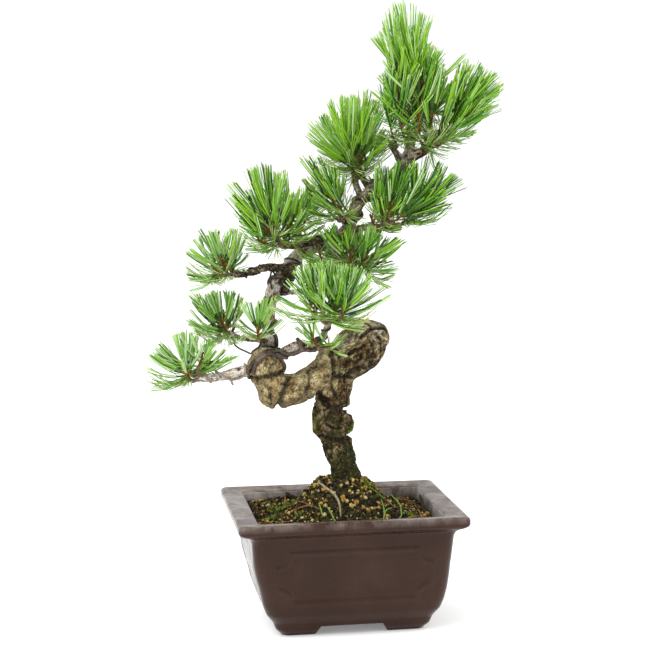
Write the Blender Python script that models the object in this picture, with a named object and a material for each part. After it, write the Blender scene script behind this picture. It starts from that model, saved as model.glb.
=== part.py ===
"""Japanese white pine bonsai in a rectangular unglazed pot.

Units are metres, +Z is up and -Y is the show side. The pot stands on z = 0. The sizes below are
in millimetres from the middle of the pot's foot, and an empty there carries every piece.
"""

import math
from dataclasses import dataclass

import bmesh
import bpy
from mathutils import Vector, noise

MM = 0.001
GAP = 0.3                       # clearance between pieces that touch

# Where the pot's middle lies from the middle of the whole plant's box
POT_X = 8.0
POT_Y = -3.0

# Pot: outer size over the rim, and what is drawn in from it
POT_WIDTH = 150.0
POT_DEPTH = 125.0
POT_HEIGHT = 81.0
RIM_THICKNESS = 8.5
LIP_WIDTH = 14.4
FLOOR_TOP = 12.5
FOOT_HEIGHT = 6.5
FOOT_WALL = 7.0
FOOT_INSET = 26.5               # from the rim's edge to the foot's edge at the ground
NOTCH_FRONT = (24.5, 21.0)      # half widths of the gap between two feet, at the ground and above
NOTCH_SIDE = (17.5, 14.0)
DRAIN_RADIUS = 6.0
DRAIN_SPACING = 56.0
CORNER_STEPS = 3

# Soil: level at the walls, and the mound under the trunk
SOIL_LEVEL = 70.0
MOUND_TOP = 98.2
MOUND_X = 3.0
MOUND_SPREAD = 17.0
SOIL_RINGS = 6

# Points of a limb per stretch between two named points, and the sides of its tube
STRETCH_STEPS = 2
THICK_SIDES = 3
THIN_SIDES = 2

# Unevenness of the needle masses
MASS_UNEVEN = 0.16
MASS_LUMP = 2.1
MASS_MERIDIANS = 14
MASS_PARALLELS = 9


@dataclass(frozen=True)
class Limb:
    """A tapering limb: points (x, y, z, radius) along its middle, and what it grows out of."""

    name: str
    points: tuple
    grows_from: tuple = ()
    sides: int = THIN_SIDES


@dataclass(frozen=True)
class Mass:
    """A mass of needles: its core and how far it reaches each way before it leans over."""

    name: str
    core: tuple
    left: float
    right: float
    up: float
    down: float
    front: float
    back: float
    lean: float = 0.0           # degrees, to the right when positive
    seed: float = 0.0


LIMBS = (
    # The flat cut stands on the mound; the top end is the healed stub of the cut leader.
    Limb("trunk", (
        (3, 0, 98.5, 12.0), (3, 0, 100.5, 10.6), (3, 0, 103, 9.6), (1.4, 0, 109, 9.0), (-1, 0, 117, 9.2),
        (-4, 0, 125, 10.2), (-6, 0, 135, 14.0), (-7, 0, 143, 12.6), (-7, 0, 150, 10.6),
        (-4.5, 1, 160, 11.4), (2, 3, 171, 13.2), (12, 5, 182, 15.4), (21.5, 6, 191, 15.6),
        (28, 6.5, 197, 11.5), (30.5, 7, 200, 5.5)), (), THICK_SIDES),
    # The knob stands at the bend where the low limb turns up into the leader.
    Limb("knob", (
        (-48, -12, 150.5, 4.5), (-48.5, -12, 154, 8.6), (-49, -12, 160, 10.4), (-50, -11.5, 167, 11.2),
        (-52, -10, 175, 11.6), (-52, -9, 181, 10.8), (-50.5, -7, 187, 8.2), (-49.5, -5.5, 191.5, 5.0)),
        (), THICK_SIDES),
    Limb("low_limb", (
        (-3, 0, 168, 12.6), (-13, -3, 171.5, 13.7), (-25, -8, 165, 11.4), (-36, -11, 161.5, 10.9),
        (-47, -12, 161.5, 10.4)), ("trunk", "knob"), THICK_SIDES),
    Limb("leader", (
        (-50, -7, 186, 4.8), (-49.4, -5, 193, 4.6), (-49, -2, 203, 3.9), (-47, 3, 218, 4.2),
        (-42, 6, 229, 4.5), (-34, 10, 241, 5.0), (-25, 12, 251, 4.6), (-11, 10, 257.5, 4.2),
        (3, 7, 264, 4.2), (10, 5, 274, 4.0), (15, 3.5, 286, 3.9), (24, 2, 294.5, 3.8),
        (36, 0, 303, 3.8), (44, -1, 311, 4.3), (48.5, -2, 319, 3.9), (49, -2, 328, 3.0)),
        ("knob",), THICK_SIDES),
    Limb("bough_lowest", (
        (-52, -9, 178, 4.2), (-69, -12, 176, 3.2), (-78, -15, 174.5, 3.0), (-89, -18, 174, 2.5),
        (-97, -20, 173, 2.0)), ("knob",)),
    Limb("bough_low_back", (
        (-49.4, -4.5, 194, 2.0), (-56, 1, 195, 2.0), (-66, 8, 195.5, 1.8), (-73, 12, 198, 1.6)),
        ("leader",)),
    Limb("bough_low_front", (
        (-49.4, -4.5, 194.5, 1.9), (-53, -10, 195.5, 1.8), (-57, -15, 199, 1.5)), ("leader",)),
    Limb("bough_left", (
        (-34, 10, 242, 2.9), (-51, 4, 243, 2.6), (-65, 0, 239.5, 2.3), (-73, -3, 239.5, 1.9)),
        ("leader",)),
    Limb("bough_high_left", (
        (1, 7.5, 263, 3.0), (-13, 1, 261.5, 2.9), (-27, -4, 258.5, 2.7), (-39, -9, 258.5, 2.3)),
        ("leader",)),
    Limb("bough_right_low", (
        (-49, -10, 183, 3.8), (-41, -14, 187.5, 3.6), (-30, -18, 192.5, 3.4), (-20, -22, 192.5, 3.0)),
        ("knob",)),
    # The right bough turns up at the tip of its low part.
    Limb("bough_right_high", (
        (-22, -21.5, 192.5, 2.7), (-16.5, -24.5, 196.5, 2.5), (-14.5, -27, 202, 2.3), (-11, -31, 211, 1.9)),
        ("bough_right_low",)),
    Limb("bough_middle", (
        (4, 6.5, 265, 2.7), (8, -5, 256, 2.4), (9, -16, 245, 1.9)), ("leader",)),
    Limb("bough_upper_left", (
        (9.5, 5, 273, 2.4), (4, -5, 274, 2.2), (0, -12, 280, 1.8)), ("leader",)),
    Limb("bough_upper", (
        (16.5, 3.4, 287.5, 2.6), (13.5, 8, 298, 2.4), (11.5, 10, 310, 1.9)), ("leader",)),
    Limb("bough_upper_right", (
        (22, 2.4, 293, 2.6), (26.5, -8, 285, 2.4), (29, -16, 277, 1.9)), ("leader",)),
    Limb("bough_top_right", (
        (47.5, -2, 316, 3.3), (53.5, -6, 318, 3.1), (60, -9, 322, 2.6), (66, -10, 332, 2.2)),
        ("leader",)),
    Limb("bough_top_left", (
        (44.5, -1, 311.5, 2.7), (41, 3, 318, 2.4), (37.5, 6, 324, 1.9)), ("leader",)),
    Limb("stub_right", (
        (4, 6.5, 265, 2.8), (20, 11, 267, 2.5), (32, 13, 266.5, 2.3), (44, 14, 265, 2.0)),
        ("leader", "bough_middle")),
    # Boughs of the far side
    Limb("bough_back_low", (
        (-43, 5, 226, 2.6), (-34, 17, 225, 2.3), (-18, 29, 224, 1.9)), ("leader",)),
    Limb("bough_back_left", (
        (-25, 12, 251, 2.8), (-24, 24, 258, 2.4), (-22, 35, 267, 1.9)), ("leader",)),
    Limb("bough_back_middle", (
        (-6, 9, 260, 2.6), (2, 22, 251, 2.3), (8, 33, 245, 1.9)), ("leader",)),
    Limb("bough_back_right", (
        (29, 1.2, 298, 2.8), (37, 16, 290, 2.4), (44, 29, 281, 1.9)), ("leader",)),
    Limb("bough_back_upper", (
        (24, 2, 294.5, 2.8), (21, 22, 301, 2.4), (18, 38, 316, 1.9)), ("leader",)),
    Limb("bough_back_top", (
        (48.2, -2, 318, 3.0), (54, 14, 327, 2.5), (60, 29, 341, 1.9)), ("leader",)),
)

MASSES = (
    Mass("needles_lowest", (-100, -20, 182), 30, 33, 25, 18, 25, 26, -8, 1.0),
    Mass("needles_low_back", (-79, 14, 207), 21, 19, 20, 14, 19, 23, -8, 2.0),
    Mass("needles_low_front", (-57, -17, 209), 11, 14, 15, 13, 15, 12, 5, 3.0),
    Mass("needles_left", (-80, -4, 248), 23, 19, 23, 18, 21, 23, -12, 4.0),
    Mass("needles_high_left", (-42, -12, 283), 32, 34, 31, 25, 27, 22, -6, 5.0),
    Mass("needles_right_low", (-23, -33, 200), 13, 12, 9, 8, 13, 9, 0, 6.0),
    Mass("needles_front", (-9, -37, 225), 33, 35, 29, 18, 29, 24, 3, 7.0),
    Mass("needles_middle", (10, -17, 250), 30, 29, 24, 20, 25, 20, 8, 8.0),
    Mass("needles_upper_left", (-8, -18, 291), 20, 16, 28, 22, 21, 19, -8, 9.0),
    Mass("needles_upper", (10, 12, 327), 29, 26, 33, 24, 24, 24, -4, 10.0),
    Mass("needles_upper_right", (40, -20, 288), 23, 40, 25, 19, 25, 21, 14, 11.0),
    Mass("needles_apex", (46, 0, 370), 23, 25, 50, 44, 25, 25, 5, 12.0),
    Mass("needles_top_right", (76, -10, 349), 20, 37, 27, 22, 26, 24, 24, 13.0),
    Mass("needles_back_low", (-9, 32, 227), 21, 24, 20, 14, 18, 22, 0, 14.0),
    Mass("needles_back_left", (-22, 40, 277), 25, 22, 25, 18, 20, 24, -6, 15.0),
    Mass("needles_back_middle", (12, 38, 248), 22, 26, 19, 16, 18, 24, 6, 16.0),
    Mass("needles_back_right", (46, 36, 284), 22, 26, 22, 17, 19, 24, 10, 17.0),
    Mass("needles_back_upper", (17, 46, 324), 23, 22, 28, 22, 20, 24, 0, 18.0),
    Mass("needles_back_top", (66, 36, 353), 24, 26, 27, 24, 20, 25, 10, 19.0),
)

COLOURS = {
    "clay": (0.070, 0.043, 0.032, 1.0),
    "soil": (0.045, 0.030, 0.016, 1.0),
    "bark": (0.145, 0.110, 0.065, 1.0),
    "needles": (0.085, 0.240, 0.040, 1.0),
}


def clear_scene():
    """Removes the objects that a new file starts with."""
    for item in list(bpy.data.objects):
        bpy.data.objects.remove(item, do_unlink=True)


def collection(name, hidden=False):
    """Makes a collection in the scene."""
    made = bpy.data.collections.new(name)
    made.hide_render = hidden
    bpy.context.scene.collection.children.link(made)
    return made


def material(name, colour, roughness):
    """Makes a plain material for one sub-part."""
    made = bpy.data.materials.new(name)
    made.use_nodes = True
    shader = made.node_tree.nodes["Principled BSDF"]
    shader.inputs["Base Color"].default_value = COLOURS[colour]
    shader.inputs["Roughness"].default_value = roughness
    shader.inputs["Metallic"].default_value = 0.0
    made.diffuse_color = COLOURS[colour]
    return made


def add_mesh(name, mesh, home, parent):
    """Links a mesh as an object under the pot's middle."""
    item = bpy.data.objects.new(name, mesh)
    home.objects.link(item)
    item.parent = parent
    return item


def cutter_look(item):
    """Shows a cutter as wire only."""
    item.hide_render = True
    item.display_type = "WIRE"


def finish(item, colour, roughness=0.9, smooth_angle=60.0):
    """Gives a piece its material and shading."""
    item.data.materials.clear()
    item.data.materials.append(material(item.name, colour, roughness))
    item.data.shade_smooth()
    item.data.set_sharp_from_angle(angle=math.radians(smooth_angle))


def loft(name, rings):
    """Skins a list of closed rings of equal count and caps both ends, faces pointing out."""
    shell = bmesh.new()
    loops = [[shell.verts.new(Vector(point) * MM) for point in ring] for ring in rings]
    for lower, upper in zip(loops, loops[1:]):
        for index in range(len(lower)):
            after = (index + 1) % len(lower)
            shell.faces.new((lower[index], lower[after], upper[after], upper[index]))
    shell.faces.new(loops[0])
    shell.faces.new(loops[-1])
    bmesh.ops.recalc_face_normals(shell, faces=shell.faces)
    mesh = bpy.data.meshes.new(name)
    shell.to_mesh(mesh)
    shell.free()
    return mesh


def rounded_ring(half_width, half_depth, radius, height):
    """Points of a rectangle with round corners, seen from above."""
    points = []
    for turn in range(4):
        angle = math.radians(90 * turn)
        side_x = 1 if turn in (0, 3) else -1
        side_y = 1 if turn in (0, 1) else -1
        for step in range(CORNER_STEPS + 1):
            bend = angle + math.radians(90) * step / CORNER_STEPS
            points.append((
                side_x * (half_width - radius) + radius * math.cos(bend),
                side_y * (half_depth - radius) + radius * math.sin(bend),
                height,
            ))
    return points


def pot_ring(inset, height, radius):
    """A ring of the pot, drawn in from the rim's outer edge by the same amount all round."""
    return rounded_ring(POT_WIDTH / 2 - inset, POT_DEPTH / 2 - inset, radius, height)


def cavity_profile():
    """(inset, height, corner radius) up the pot's inner wall."""
    return (
        (26.0, FLOOR_TOP, 5.0), (24.0, FLOOR_TOP + 1.5, 6.0), (18.5, 28.0, 6.5),
        (15.8, 50.0, 6.0), (14.9, 72.0, 5.0), (LIP_WIDTH, POT_HEIGHT - 3.0, 4.5),
    )


def pot_profile():
    """(inset, height, corner radius) from the floor inside, over the rim and down to the foot."""
    under_rim = POT_HEIGHT - RIM_THICKNESS
    rim = (
        (LIP_WIDTH - 0.8, POT_HEIGHT - 1.9, 4.5), (1.6, POT_HEIGHT, 3.5), (0.0, POT_HEIGHT - 1.2, 4.0),
        (0.0, under_rim + 2.4, 4.0), (1.4, under_rim + 0.4, 4.0),
    )
    body = (
        (8.6, under_rim - 1.0, 4.0), (10.2, 68.5, 4.5), (10.8, 58.0, 5.0), (11.0, 44.0, 5.5),
        (12.0, 32.0, 6.0), (14.4, 22.5, 6.5), (18.0, 15.5, 7.0), (22.2, 10.4, 7.0),
    )
    foot = (
        (23.2, 9.4, 6.5), (23.6, 4.5, 6.5), (FOOT_INSET - 1.0, 1.4, 6.0), (FOOT_INSET, 0.0, 6.0),
        (FOOT_INSET + FOOT_WALL, 0.0, 4.0), (FOOT_INSET + FOOT_WALL + 1.0, FOOT_HEIGHT, 4.0),
    )
    return cavity_profile() + rim + body + foot


def notch(name, half_widths, along_x, home, parent):
    """A cutter with slanted ends that opens the foot wall on two opposite sides."""
    reach = POT_WIDTH
    top = FOOT_HEIGHT - 0.5
    wide, narrow = half_widths
    profile = ((-wide - 0.5, -1.0), (wide + 0.5, -1.0), (narrow, top), (-narrow, top))
    rings = []
    for place in (-reach, reach):
        if along_x:
            rings.append([(place, across, height) for across, height in profile])
        else:
            rings.append([(across, place, height) for across, height in profile])
    cutter = add_mesh(name, loft(name, rings), home, parent)
    cutter_look(cutter)
    return cutter


def drain(name, place, home, parent):
    """A round cutter for a drain hole through the pot's floor."""
    shape = bmesh.new()
    bmesh.ops.create_cone(
        shape, cap_ends=True, segments=20, radius1=DRAIN_RADIUS * MM, radius2=DRAIN_RADIUS * MM,
        depth=3 * FLOOR_TOP * MM,
    )
    bmesh.ops.translate(shape, verts=shape.verts, vec=(place * MM, 0.0, FLOOR_TOP * MM))
    mesh = bpy.data.meshes.new(name)
    shape.to_mesh(mesh)
    shape.free()
    cutter = add_mesh(name, mesh, home, parent)
    cutter_look(cutter)
    return cutter


def cut(item, cutter):
    """Takes a cutter out of a piece."""
    modifier = item.modifiers.new(cutter.name, "BOOLEAN")
    modifier.operation = "DIFFERENCE"
    modifier.solver = "EXACT"
    modifier.object = cutter


def build_pot(home, cutters, parent):
    """The unglazed pot: flared rim, bellied wall, four bracket feet and two drain holes."""
    rings = [pot_ring(inset, height, radius) for inset, height, radius in pot_profile()]
    pot = add_mesh("pot", loft("pot", rings), home, parent)
    cut(pot, notch("notch_front", NOTCH_FRONT, False, cutters, parent))
    cut(pot, notch("notch_side", NOTCH_SIDE, True, cutters, parent))
    for side in (-1, 1):
        cut(pot, drain(f"drain_{side + 2}", side * DRAIN_SPACING / 2, cutters, parent))
    finish(pot, "clay", 0.75, 35.0)
    return pot


def mound_height(x, y):
    """The soil's height: low at the walls and heaped round the trunk's foot."""
    away = math.hypot((x - MOUND_X) * 0.92, y)
    flat = MOUND_SPREAD * 0.72
    heap = math.exp(-0.5 * (max(0.0, away - flat) / (MOUND_SPREAD * 0.62)) ** 2)
    lumps = 1.6 * noise.noise(Vector((x * 0.09, y * 0.09, 3.0))) * (1.0 - heap)
    return SOIL_LEVEL + (MOUND_TOP - SOIL_LEVEL) * heap + lumps


def build_soil(home, parent):
    """The soil: it fills the pot just clear of its wall and carries the trunk on its mound."""
    rings = []
    below = [step for step in cavity_profile() if step[1] < SOIL_LEVEL]
    for inset, height, radius in below:
        lift = GAP if height < FLOOR_TOP + 1.0 else 0.0
        rings.append(pot_ring(inset + 1.5 * GAP, height + lift, radius))
    edge = pot_ring(cavity_profile()[-2][0] + 1.5 * GAP, SOIL_LEVEL, 5.0)
    centre = Vector((MOUND_X, 0.0, 0.0))
    for step in range(SOIL_RINGS + 1):
        inward = step / SOIL_RINGS
        ring = []
        for x, y, _ in edge:
            outer = Vector((x, y, 0.0))
            round_point = centre + (outer - centre).normalized() * MOUND_SPREAD * 0.6
            place = outer.lerp(round_point, inward ** 0.8)
            ring.append((place.x, place.y, mound_height(place.x, place.y)))
        rings.append(ring)
    soil = add_mesh("soil", loft("soil", rings), home, parent)
    finish(soil, "soil", 1.0)
    return soil


def smooth_points(points, steps):
    """Points of a smooth curve through the named ones, with their radii."""
    rows = [points[0], *points, points[-1]]
    smooth = []
    for a, b, c, d in zip(rows, rows[1:], rows[2:], rows[3:]):
        for step in range(steps):
            t = step / steps
            smooth.append(tuple(
                0.5 * (2 * q + (r - p) * t + (2 * p - 5 * q + 4 * r - s) * t ** 2
                       + (3 * q - p - 3 * r + s) * t ** 3)
                for p, q, r, s in zip(a, b, c, d)
            ))
    smooth.append(tuple(float(value) for value in points[-1]))
    return smooth


def tube(name, limb, extra, home, parent):
    """A tapering tube along a limb, closed at both ends; extra thickens it all round."""
    curve = bpy.data.curves.new(name, "CURVE")
    curve.dimensions = "3D"
    curve.bevel_depth = 1.0
    curve.bevel_resolution = limb.sides
    curve.use_fill_caps = True
    spline = curve.splines.new("POLY")
    rows = smooth_points(limb.points, STRETCH_STEPS)
    spline.points.add(len(rows) - 1)
    for point, (x, y, z, radius) in zip(spline.points, rows):
        point.co = (x * MM, y * MM, z * MM, 1.0)
        point.radius = (radius + extra) * MM
    item = add_mesh(f"{name}_curve", curve, home, parent)
    bpy.context.view_layer.update()
    evaluated = item.evaluated_get(bpy.context.evaluated_depsgraph_get())
    mesh = bpy.data.meshes.new_from_object(evaluated)
    bpy.data.objects.remove(item, do_unlink=True)
    shell = bmesh.new()
    shell.from_mesh(mesh)
    bmesh.ops.remove_doubles(shell, verts=shell.verts, dist=0.00001)
    bmesh.ops.recalc_face_normals(shell, faces=shell.faces)
    shell.to_mesh(mesh)
    shell.free()
    mesh.name = name
    return add_mesh(name, mesh, home, parent)


def settle(item):
    """Applies a piece's cuts and keeps its largest body, without the slivers of a grazing cut."""
    bpy.context.view_layer.update()
    evaluated = item.evaluated_get(bpy.context.evaluated_depsgraph_get())
    mesh = bpy.data.meshes.new_from_object(evaluated)
    item.modifiers.clear()
    shell = bmesh.new()
    shell.from_mesh(mesh)
    bmesh.ops.remove_doubles(shell, verts=shell.verts, dist=0.00001)
    bmesh.ops.dissolve_degenerate(shell, edges=shell.edges, dist=0.00001)
    left = set(shell.verts)
    bodies = []
    while left:
        body = set()
        front = [left.pop()]
        while front:
            vertex = front.pop()
            body.add(vertex)
            for edge in vertex.link_edges:
                other = edge.other_vert(vertex)
                if other in left:
                    left.remove(other)
                    front.append(other)
        bodies.append(body)
    bodies.sort(key=len, reverse=True)
    for body in bodies[1:]:
        bmesh.ops.delete(shell, geom=list(body), context="VERTS")
    shell.to_mesh(mesh)
    shell.free()
    item.data = mesh


def build_limbs(home, cutters, parent):
    """The trunk, the limbs and the boughs, each cut clear of what it grows out of."""
    limbs = {}
    thick = {}
    for limb in LIMBS:
        thick[limb.name] = tube(f"{limb.name}_clear", limb, GAP, cutters, parent)
        cutter_look(thick[limb.name])
        limbs[limb.name] = tube(limb.name, limb, 0.0, home, parent)
        for name in limb.grows_from:
            cut(limbs[limb.name], thick[name])
        if limb.grows_from:
            settle(limbs[limb.name])
        finish(limbs[limb.name], "bark", 0.95)
    return limbs, thick


def leaned(vector, degrees):
    """Turns a direction about the Y axis, towards +X when the angle is positive."""
    turn = math.radians(degrees)
    return Vector((
        vector.x * math.cos(turn) + vector.z * math.sin(turn),
        vector.y,
        vector.z * math.cos(turn) - vector.x * math.sin(turn),
    ))


def mass_reach(mass, direction):
    """How far an uneven mass reaches from its core in a direction."""
    local = leaned(direction, -mass.lean)
    across = mass.right if local.x > 0 else mass.left
    deep = mass.back if local.y > 0 else mass.front
    high = mass.up if local.z > 0 else mass.down
    plain = 1.0 / math.sqrt((local.x / across) ** 2 + (local.y / deep) ** 2 + (local.z / high) ** 2)
    lump = noise.noise(direction * MASS_LUMP + Vector((mass.seed * 7.0, 0.0, 0.0)))
    return plain * (1.0 + MASS_UNEVEN * lump)


def dividing_planes(mass):
    """(distance, direction) of the planes that keep a mass clear of each of its neighbours."""
    planes = []
    for other in MASSES:
        if other.name == mass.name:
            continue
        between = Vector(other.core) - Vector(mass.core)
        toward = between.normalized()
        own = mass_reach(mass, toward)
        their = mass_reach(other, -toward)
        share = between.length * own / (own + their)
        planes.append((share - GAP / 2, toward))
    return planes


def build_mass(mass, home, parent):
    """One uneven mass of needles, a closed body flattened where a neighbour presses on it."""
    shape = bmesh.new()
    bmesh.ops.create_uvsphere(
        shape, u_segments=MASS_MERIDIANS, v_segments=MASS_PARALLELS, radius=1.0,
    )
    planes = dividing_planes(mass)
    for vertex in shape.verts:
        direction = vertex.co.normalized()
        reach = mass_reach(mass, direction)
        for distance, toward in planes:
            facing = direction.dot(toward)
            if facing > 0.0:
                reach = min(reach, distance / facing)
        vertex.co = (Vector(mass.core) + direction * reach) * MM
    bmesh.ops.recalc_face_normals(shape, faces=shape.faces)
    mesh = bpy.data.meshes.new(mass.name)
    shape.to_mesh(mesh)
    shape.free()
    return add_mesh(mass.name, mesh, home, parent)


def box_of(item):
    """Lowest and highest corners of an object's mesh."""
    places = [vertex.co for vertex in item.data.vertices]
    low = Vector(min(place[axis] for place in places) for axis in range(3))
    high = Vector(max(place[axis] for place in places) for axis in range(3))
    return low, high


def near(item, other):
    """Says whether two objects' boxes meet."""
    low, high = box_of(item)
    other_low, other_high = box_of(other)
    return all(low[axis] < other_high[axis] and other_low[axis] < high[axis] for axis in range(3))


def build_masses(home, parent, thick):
    """The needle masses, each cut clear of the limbs that run into it or through it."""
    for mass in MASSES:
        item = build_mass(mass, home, parent)
        cutters = [cutter for cutter in thick.values() if near(item, cutter)]
        for cutter in cutters:
            cut(item, cutter)
        if cutters:
            settle(item)
        finish(item, "needles", 0.8)


def main():
    """Builds the pot, the soil, the limbs and the needle masses."""
    clear_scene()
    home = collection("white_pine_bonsai")
    cutters = collection("cutters", hidden=True)
    middle = bpy.data.objects.new("pot_middle", None)
    middle.location = (POT_X * MM, POT_Y * MM, 0.0)
    home.objects.link(middle)
    build_pot(home, cutters, middle)
    build_soil(home, middle)
    _, thick = build_limbs(home, cutters, middle)
    build_masses(home, middle, thick)


main()
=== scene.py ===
"""The looks of a potted japanese white pine bonsai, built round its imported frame.

The script makes the bark, twigs, needles, training wires, moss, soil and clay pot, and the floor, the light
and the camera. Lists of places are in millimetres from the middle of the pot's foot, with x to the right,
y to the back and z up. The finished meshes are in metres, in the frame's own place.
"""
import logging
import math
from collections.abc import Iterable
from dataclasses import dataclass, field
from enum import Enum

import bmesh
import bpy
import numpy as np
from mathutils import Matrix, Vector, noise
from mathutils.bvhtree import BVHTree
from mathutils.geometry import convex_hull_2d, delaunay_2d_cdt

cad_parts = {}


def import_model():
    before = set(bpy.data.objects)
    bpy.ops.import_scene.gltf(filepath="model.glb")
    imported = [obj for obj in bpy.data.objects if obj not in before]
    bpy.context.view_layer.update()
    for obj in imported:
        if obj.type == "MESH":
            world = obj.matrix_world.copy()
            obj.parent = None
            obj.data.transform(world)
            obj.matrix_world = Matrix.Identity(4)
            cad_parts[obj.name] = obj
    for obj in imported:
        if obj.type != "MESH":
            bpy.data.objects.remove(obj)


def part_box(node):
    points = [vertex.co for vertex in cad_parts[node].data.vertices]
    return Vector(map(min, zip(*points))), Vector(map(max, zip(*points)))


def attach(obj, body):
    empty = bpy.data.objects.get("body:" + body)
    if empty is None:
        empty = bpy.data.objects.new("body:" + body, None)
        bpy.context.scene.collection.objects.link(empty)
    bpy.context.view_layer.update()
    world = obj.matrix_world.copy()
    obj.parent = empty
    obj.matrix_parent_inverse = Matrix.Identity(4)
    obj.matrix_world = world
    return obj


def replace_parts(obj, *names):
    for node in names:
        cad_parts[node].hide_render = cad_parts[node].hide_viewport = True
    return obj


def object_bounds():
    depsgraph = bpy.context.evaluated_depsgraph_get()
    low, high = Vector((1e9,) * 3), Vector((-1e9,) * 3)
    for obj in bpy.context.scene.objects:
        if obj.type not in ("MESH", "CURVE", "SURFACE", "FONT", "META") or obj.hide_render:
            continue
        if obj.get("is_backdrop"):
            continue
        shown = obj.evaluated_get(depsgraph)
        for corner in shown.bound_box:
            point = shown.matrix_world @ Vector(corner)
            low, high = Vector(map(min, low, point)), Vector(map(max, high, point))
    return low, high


LOG = logging.getLogger("bonsai")
MM = 0.001
BODY = "root"
UP = np.array([0.0, 0.0, 1.0])
LEVEL = np.array([1.0, 1.0, 0.0])
FULL = 6.28
GOLDEN_TURN = math.radians(137.508)

Point = tuple[float, float, float]
Colour = tuple[float, float, float, float]


def srgb(red: float, green: float, blue: float) -> Colour:
    """Turns a colour as seen on a screen into the linear values that a shader takes.

    Args:
        red: The red part, 0 to 255.
        green: The green part, 0 to 255.
        blue: The blue part, 0 to 255.

    Returns:
        The linear colour with an alpha of 1.
    """
    parts = [value / 255 for value in (red, green, blue)]
    return (*(p / 12.92 if p <= 0.04045 else ((p + 0.055) / 1.055) ** 2.4 for p in parts), 1.0)


WHITE = srgb(255, 255, 255)


def unit(rows: np.ndarray) -> np.ndarray:
    """Gives rows of vectors at a length of one."""
    return rows / np.maximum(np.linalg.norm(rows, axis=-1, keepdims=True), 1e-9)


def smooth_step(low: float, high: float, values: np.ndarray) -> np.ndarray:
    """Gives 0 below low and 1 above high, with a soft slope between."""
    t = np.clip((values - low) / (high - low), 0.0, 1.0)
    return t * t * (3.0 - 2.0 * t)


def noise_at(rows: np.ndarray, size: float, shift: float = 0.0) -> np.ndarray:
    """Gives smooth noise of -1 to 1 at each row, with lumps about as wide as size."""
    return np.array([noise.noise(row) for row in (rows / size + shift).tolist()])


def smooth_rows(points: tuple, spacing: float) -> np.ndarray:
    """Runs a smooth curve through named rows.

    Args:
        points: Rows of x, y, z and any further columns, such as a radius.
        spacing: The rough distance between the rows that come back.

    Returns:
        The rows of the curve, first and last ones included.
    """
    rows = np.asarray([points[0], *points, points[-1]], float)
    made = []
    for a, b, c, d in zip(rows, rows[1:], rows[2:], rows[3:]):
        count = max(1, round(float(np.linalg.norm(c[:3] - b[:3])) / spacing))
        t = (np.arange(count) / count)[:, None]
        made.append(0.5 * (2 * b + (c - a) * t + (2 * a - 5 * b + 4 * c - d) * t ** 2
                           + (3 * b - a - 3 * c + d) * t ** 3))
    made.append(rows[-1:])
    return np.vstack(made)


def frames(path: np.ndarray) -> tuple[np.ndarray, np.ndarray, np.ndarray]:
    """Carries a pair of side directions along a path without a twist.

    Args:
        path: Rows that start with x, y and z.

    Returns:
        The heading of each row and its two side directions.
    """
    heading = unit(np.gradient(path[:, :3], axis=0))
    side = np.cross(heading[0], UP)
    if np.linalg.norm(side) < 0.3:
        side = np.cross(heading[0], (1.0, 0.0, 0.0))
    sides = []
    for ahead in heading:
        side = unit(side - ahead * (side @ ahead))
        sides.append(side)
    sides = np.array(sides)
    return heading, sides, np.cross(heading, sides)


def full_turn(count: int) -> np.ndarray:
    """Gives evenly set angles of a full turn, in radians."""
    return np.arange(count) * 2 * math.pi / count


def turned(turn: float, side: np.ndarray, other: np.ndarray) -> np.ndarray:
    """Gives the direction at a turn from one side direction towards the other."""
    return math.cos(turn) * side + math.sin(turn) * other


def corner_rows(mesh: bpy.types.Mesh) -> np.ndarray:
    """Gives the places of a mesh's corners, in metres."""
    rows = np.empty(len(mesh.vertices) * 3, np.float32)
    mesh.vertices.foreach_get("co", rows)
    return rows.reshape(-1, 3)


def normal_rows(mesh: bpy.types.Mesh) -> np.ndarray:
    """Gives the surface's outward direction at each of a mesh's corners."""
    rows = np.empty(len(mesh.vertices) * 3, np.float32)
    mesh.vertex_normals.foreach_get("vector", rows)
    return rows.reshape(-1, 3)


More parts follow.
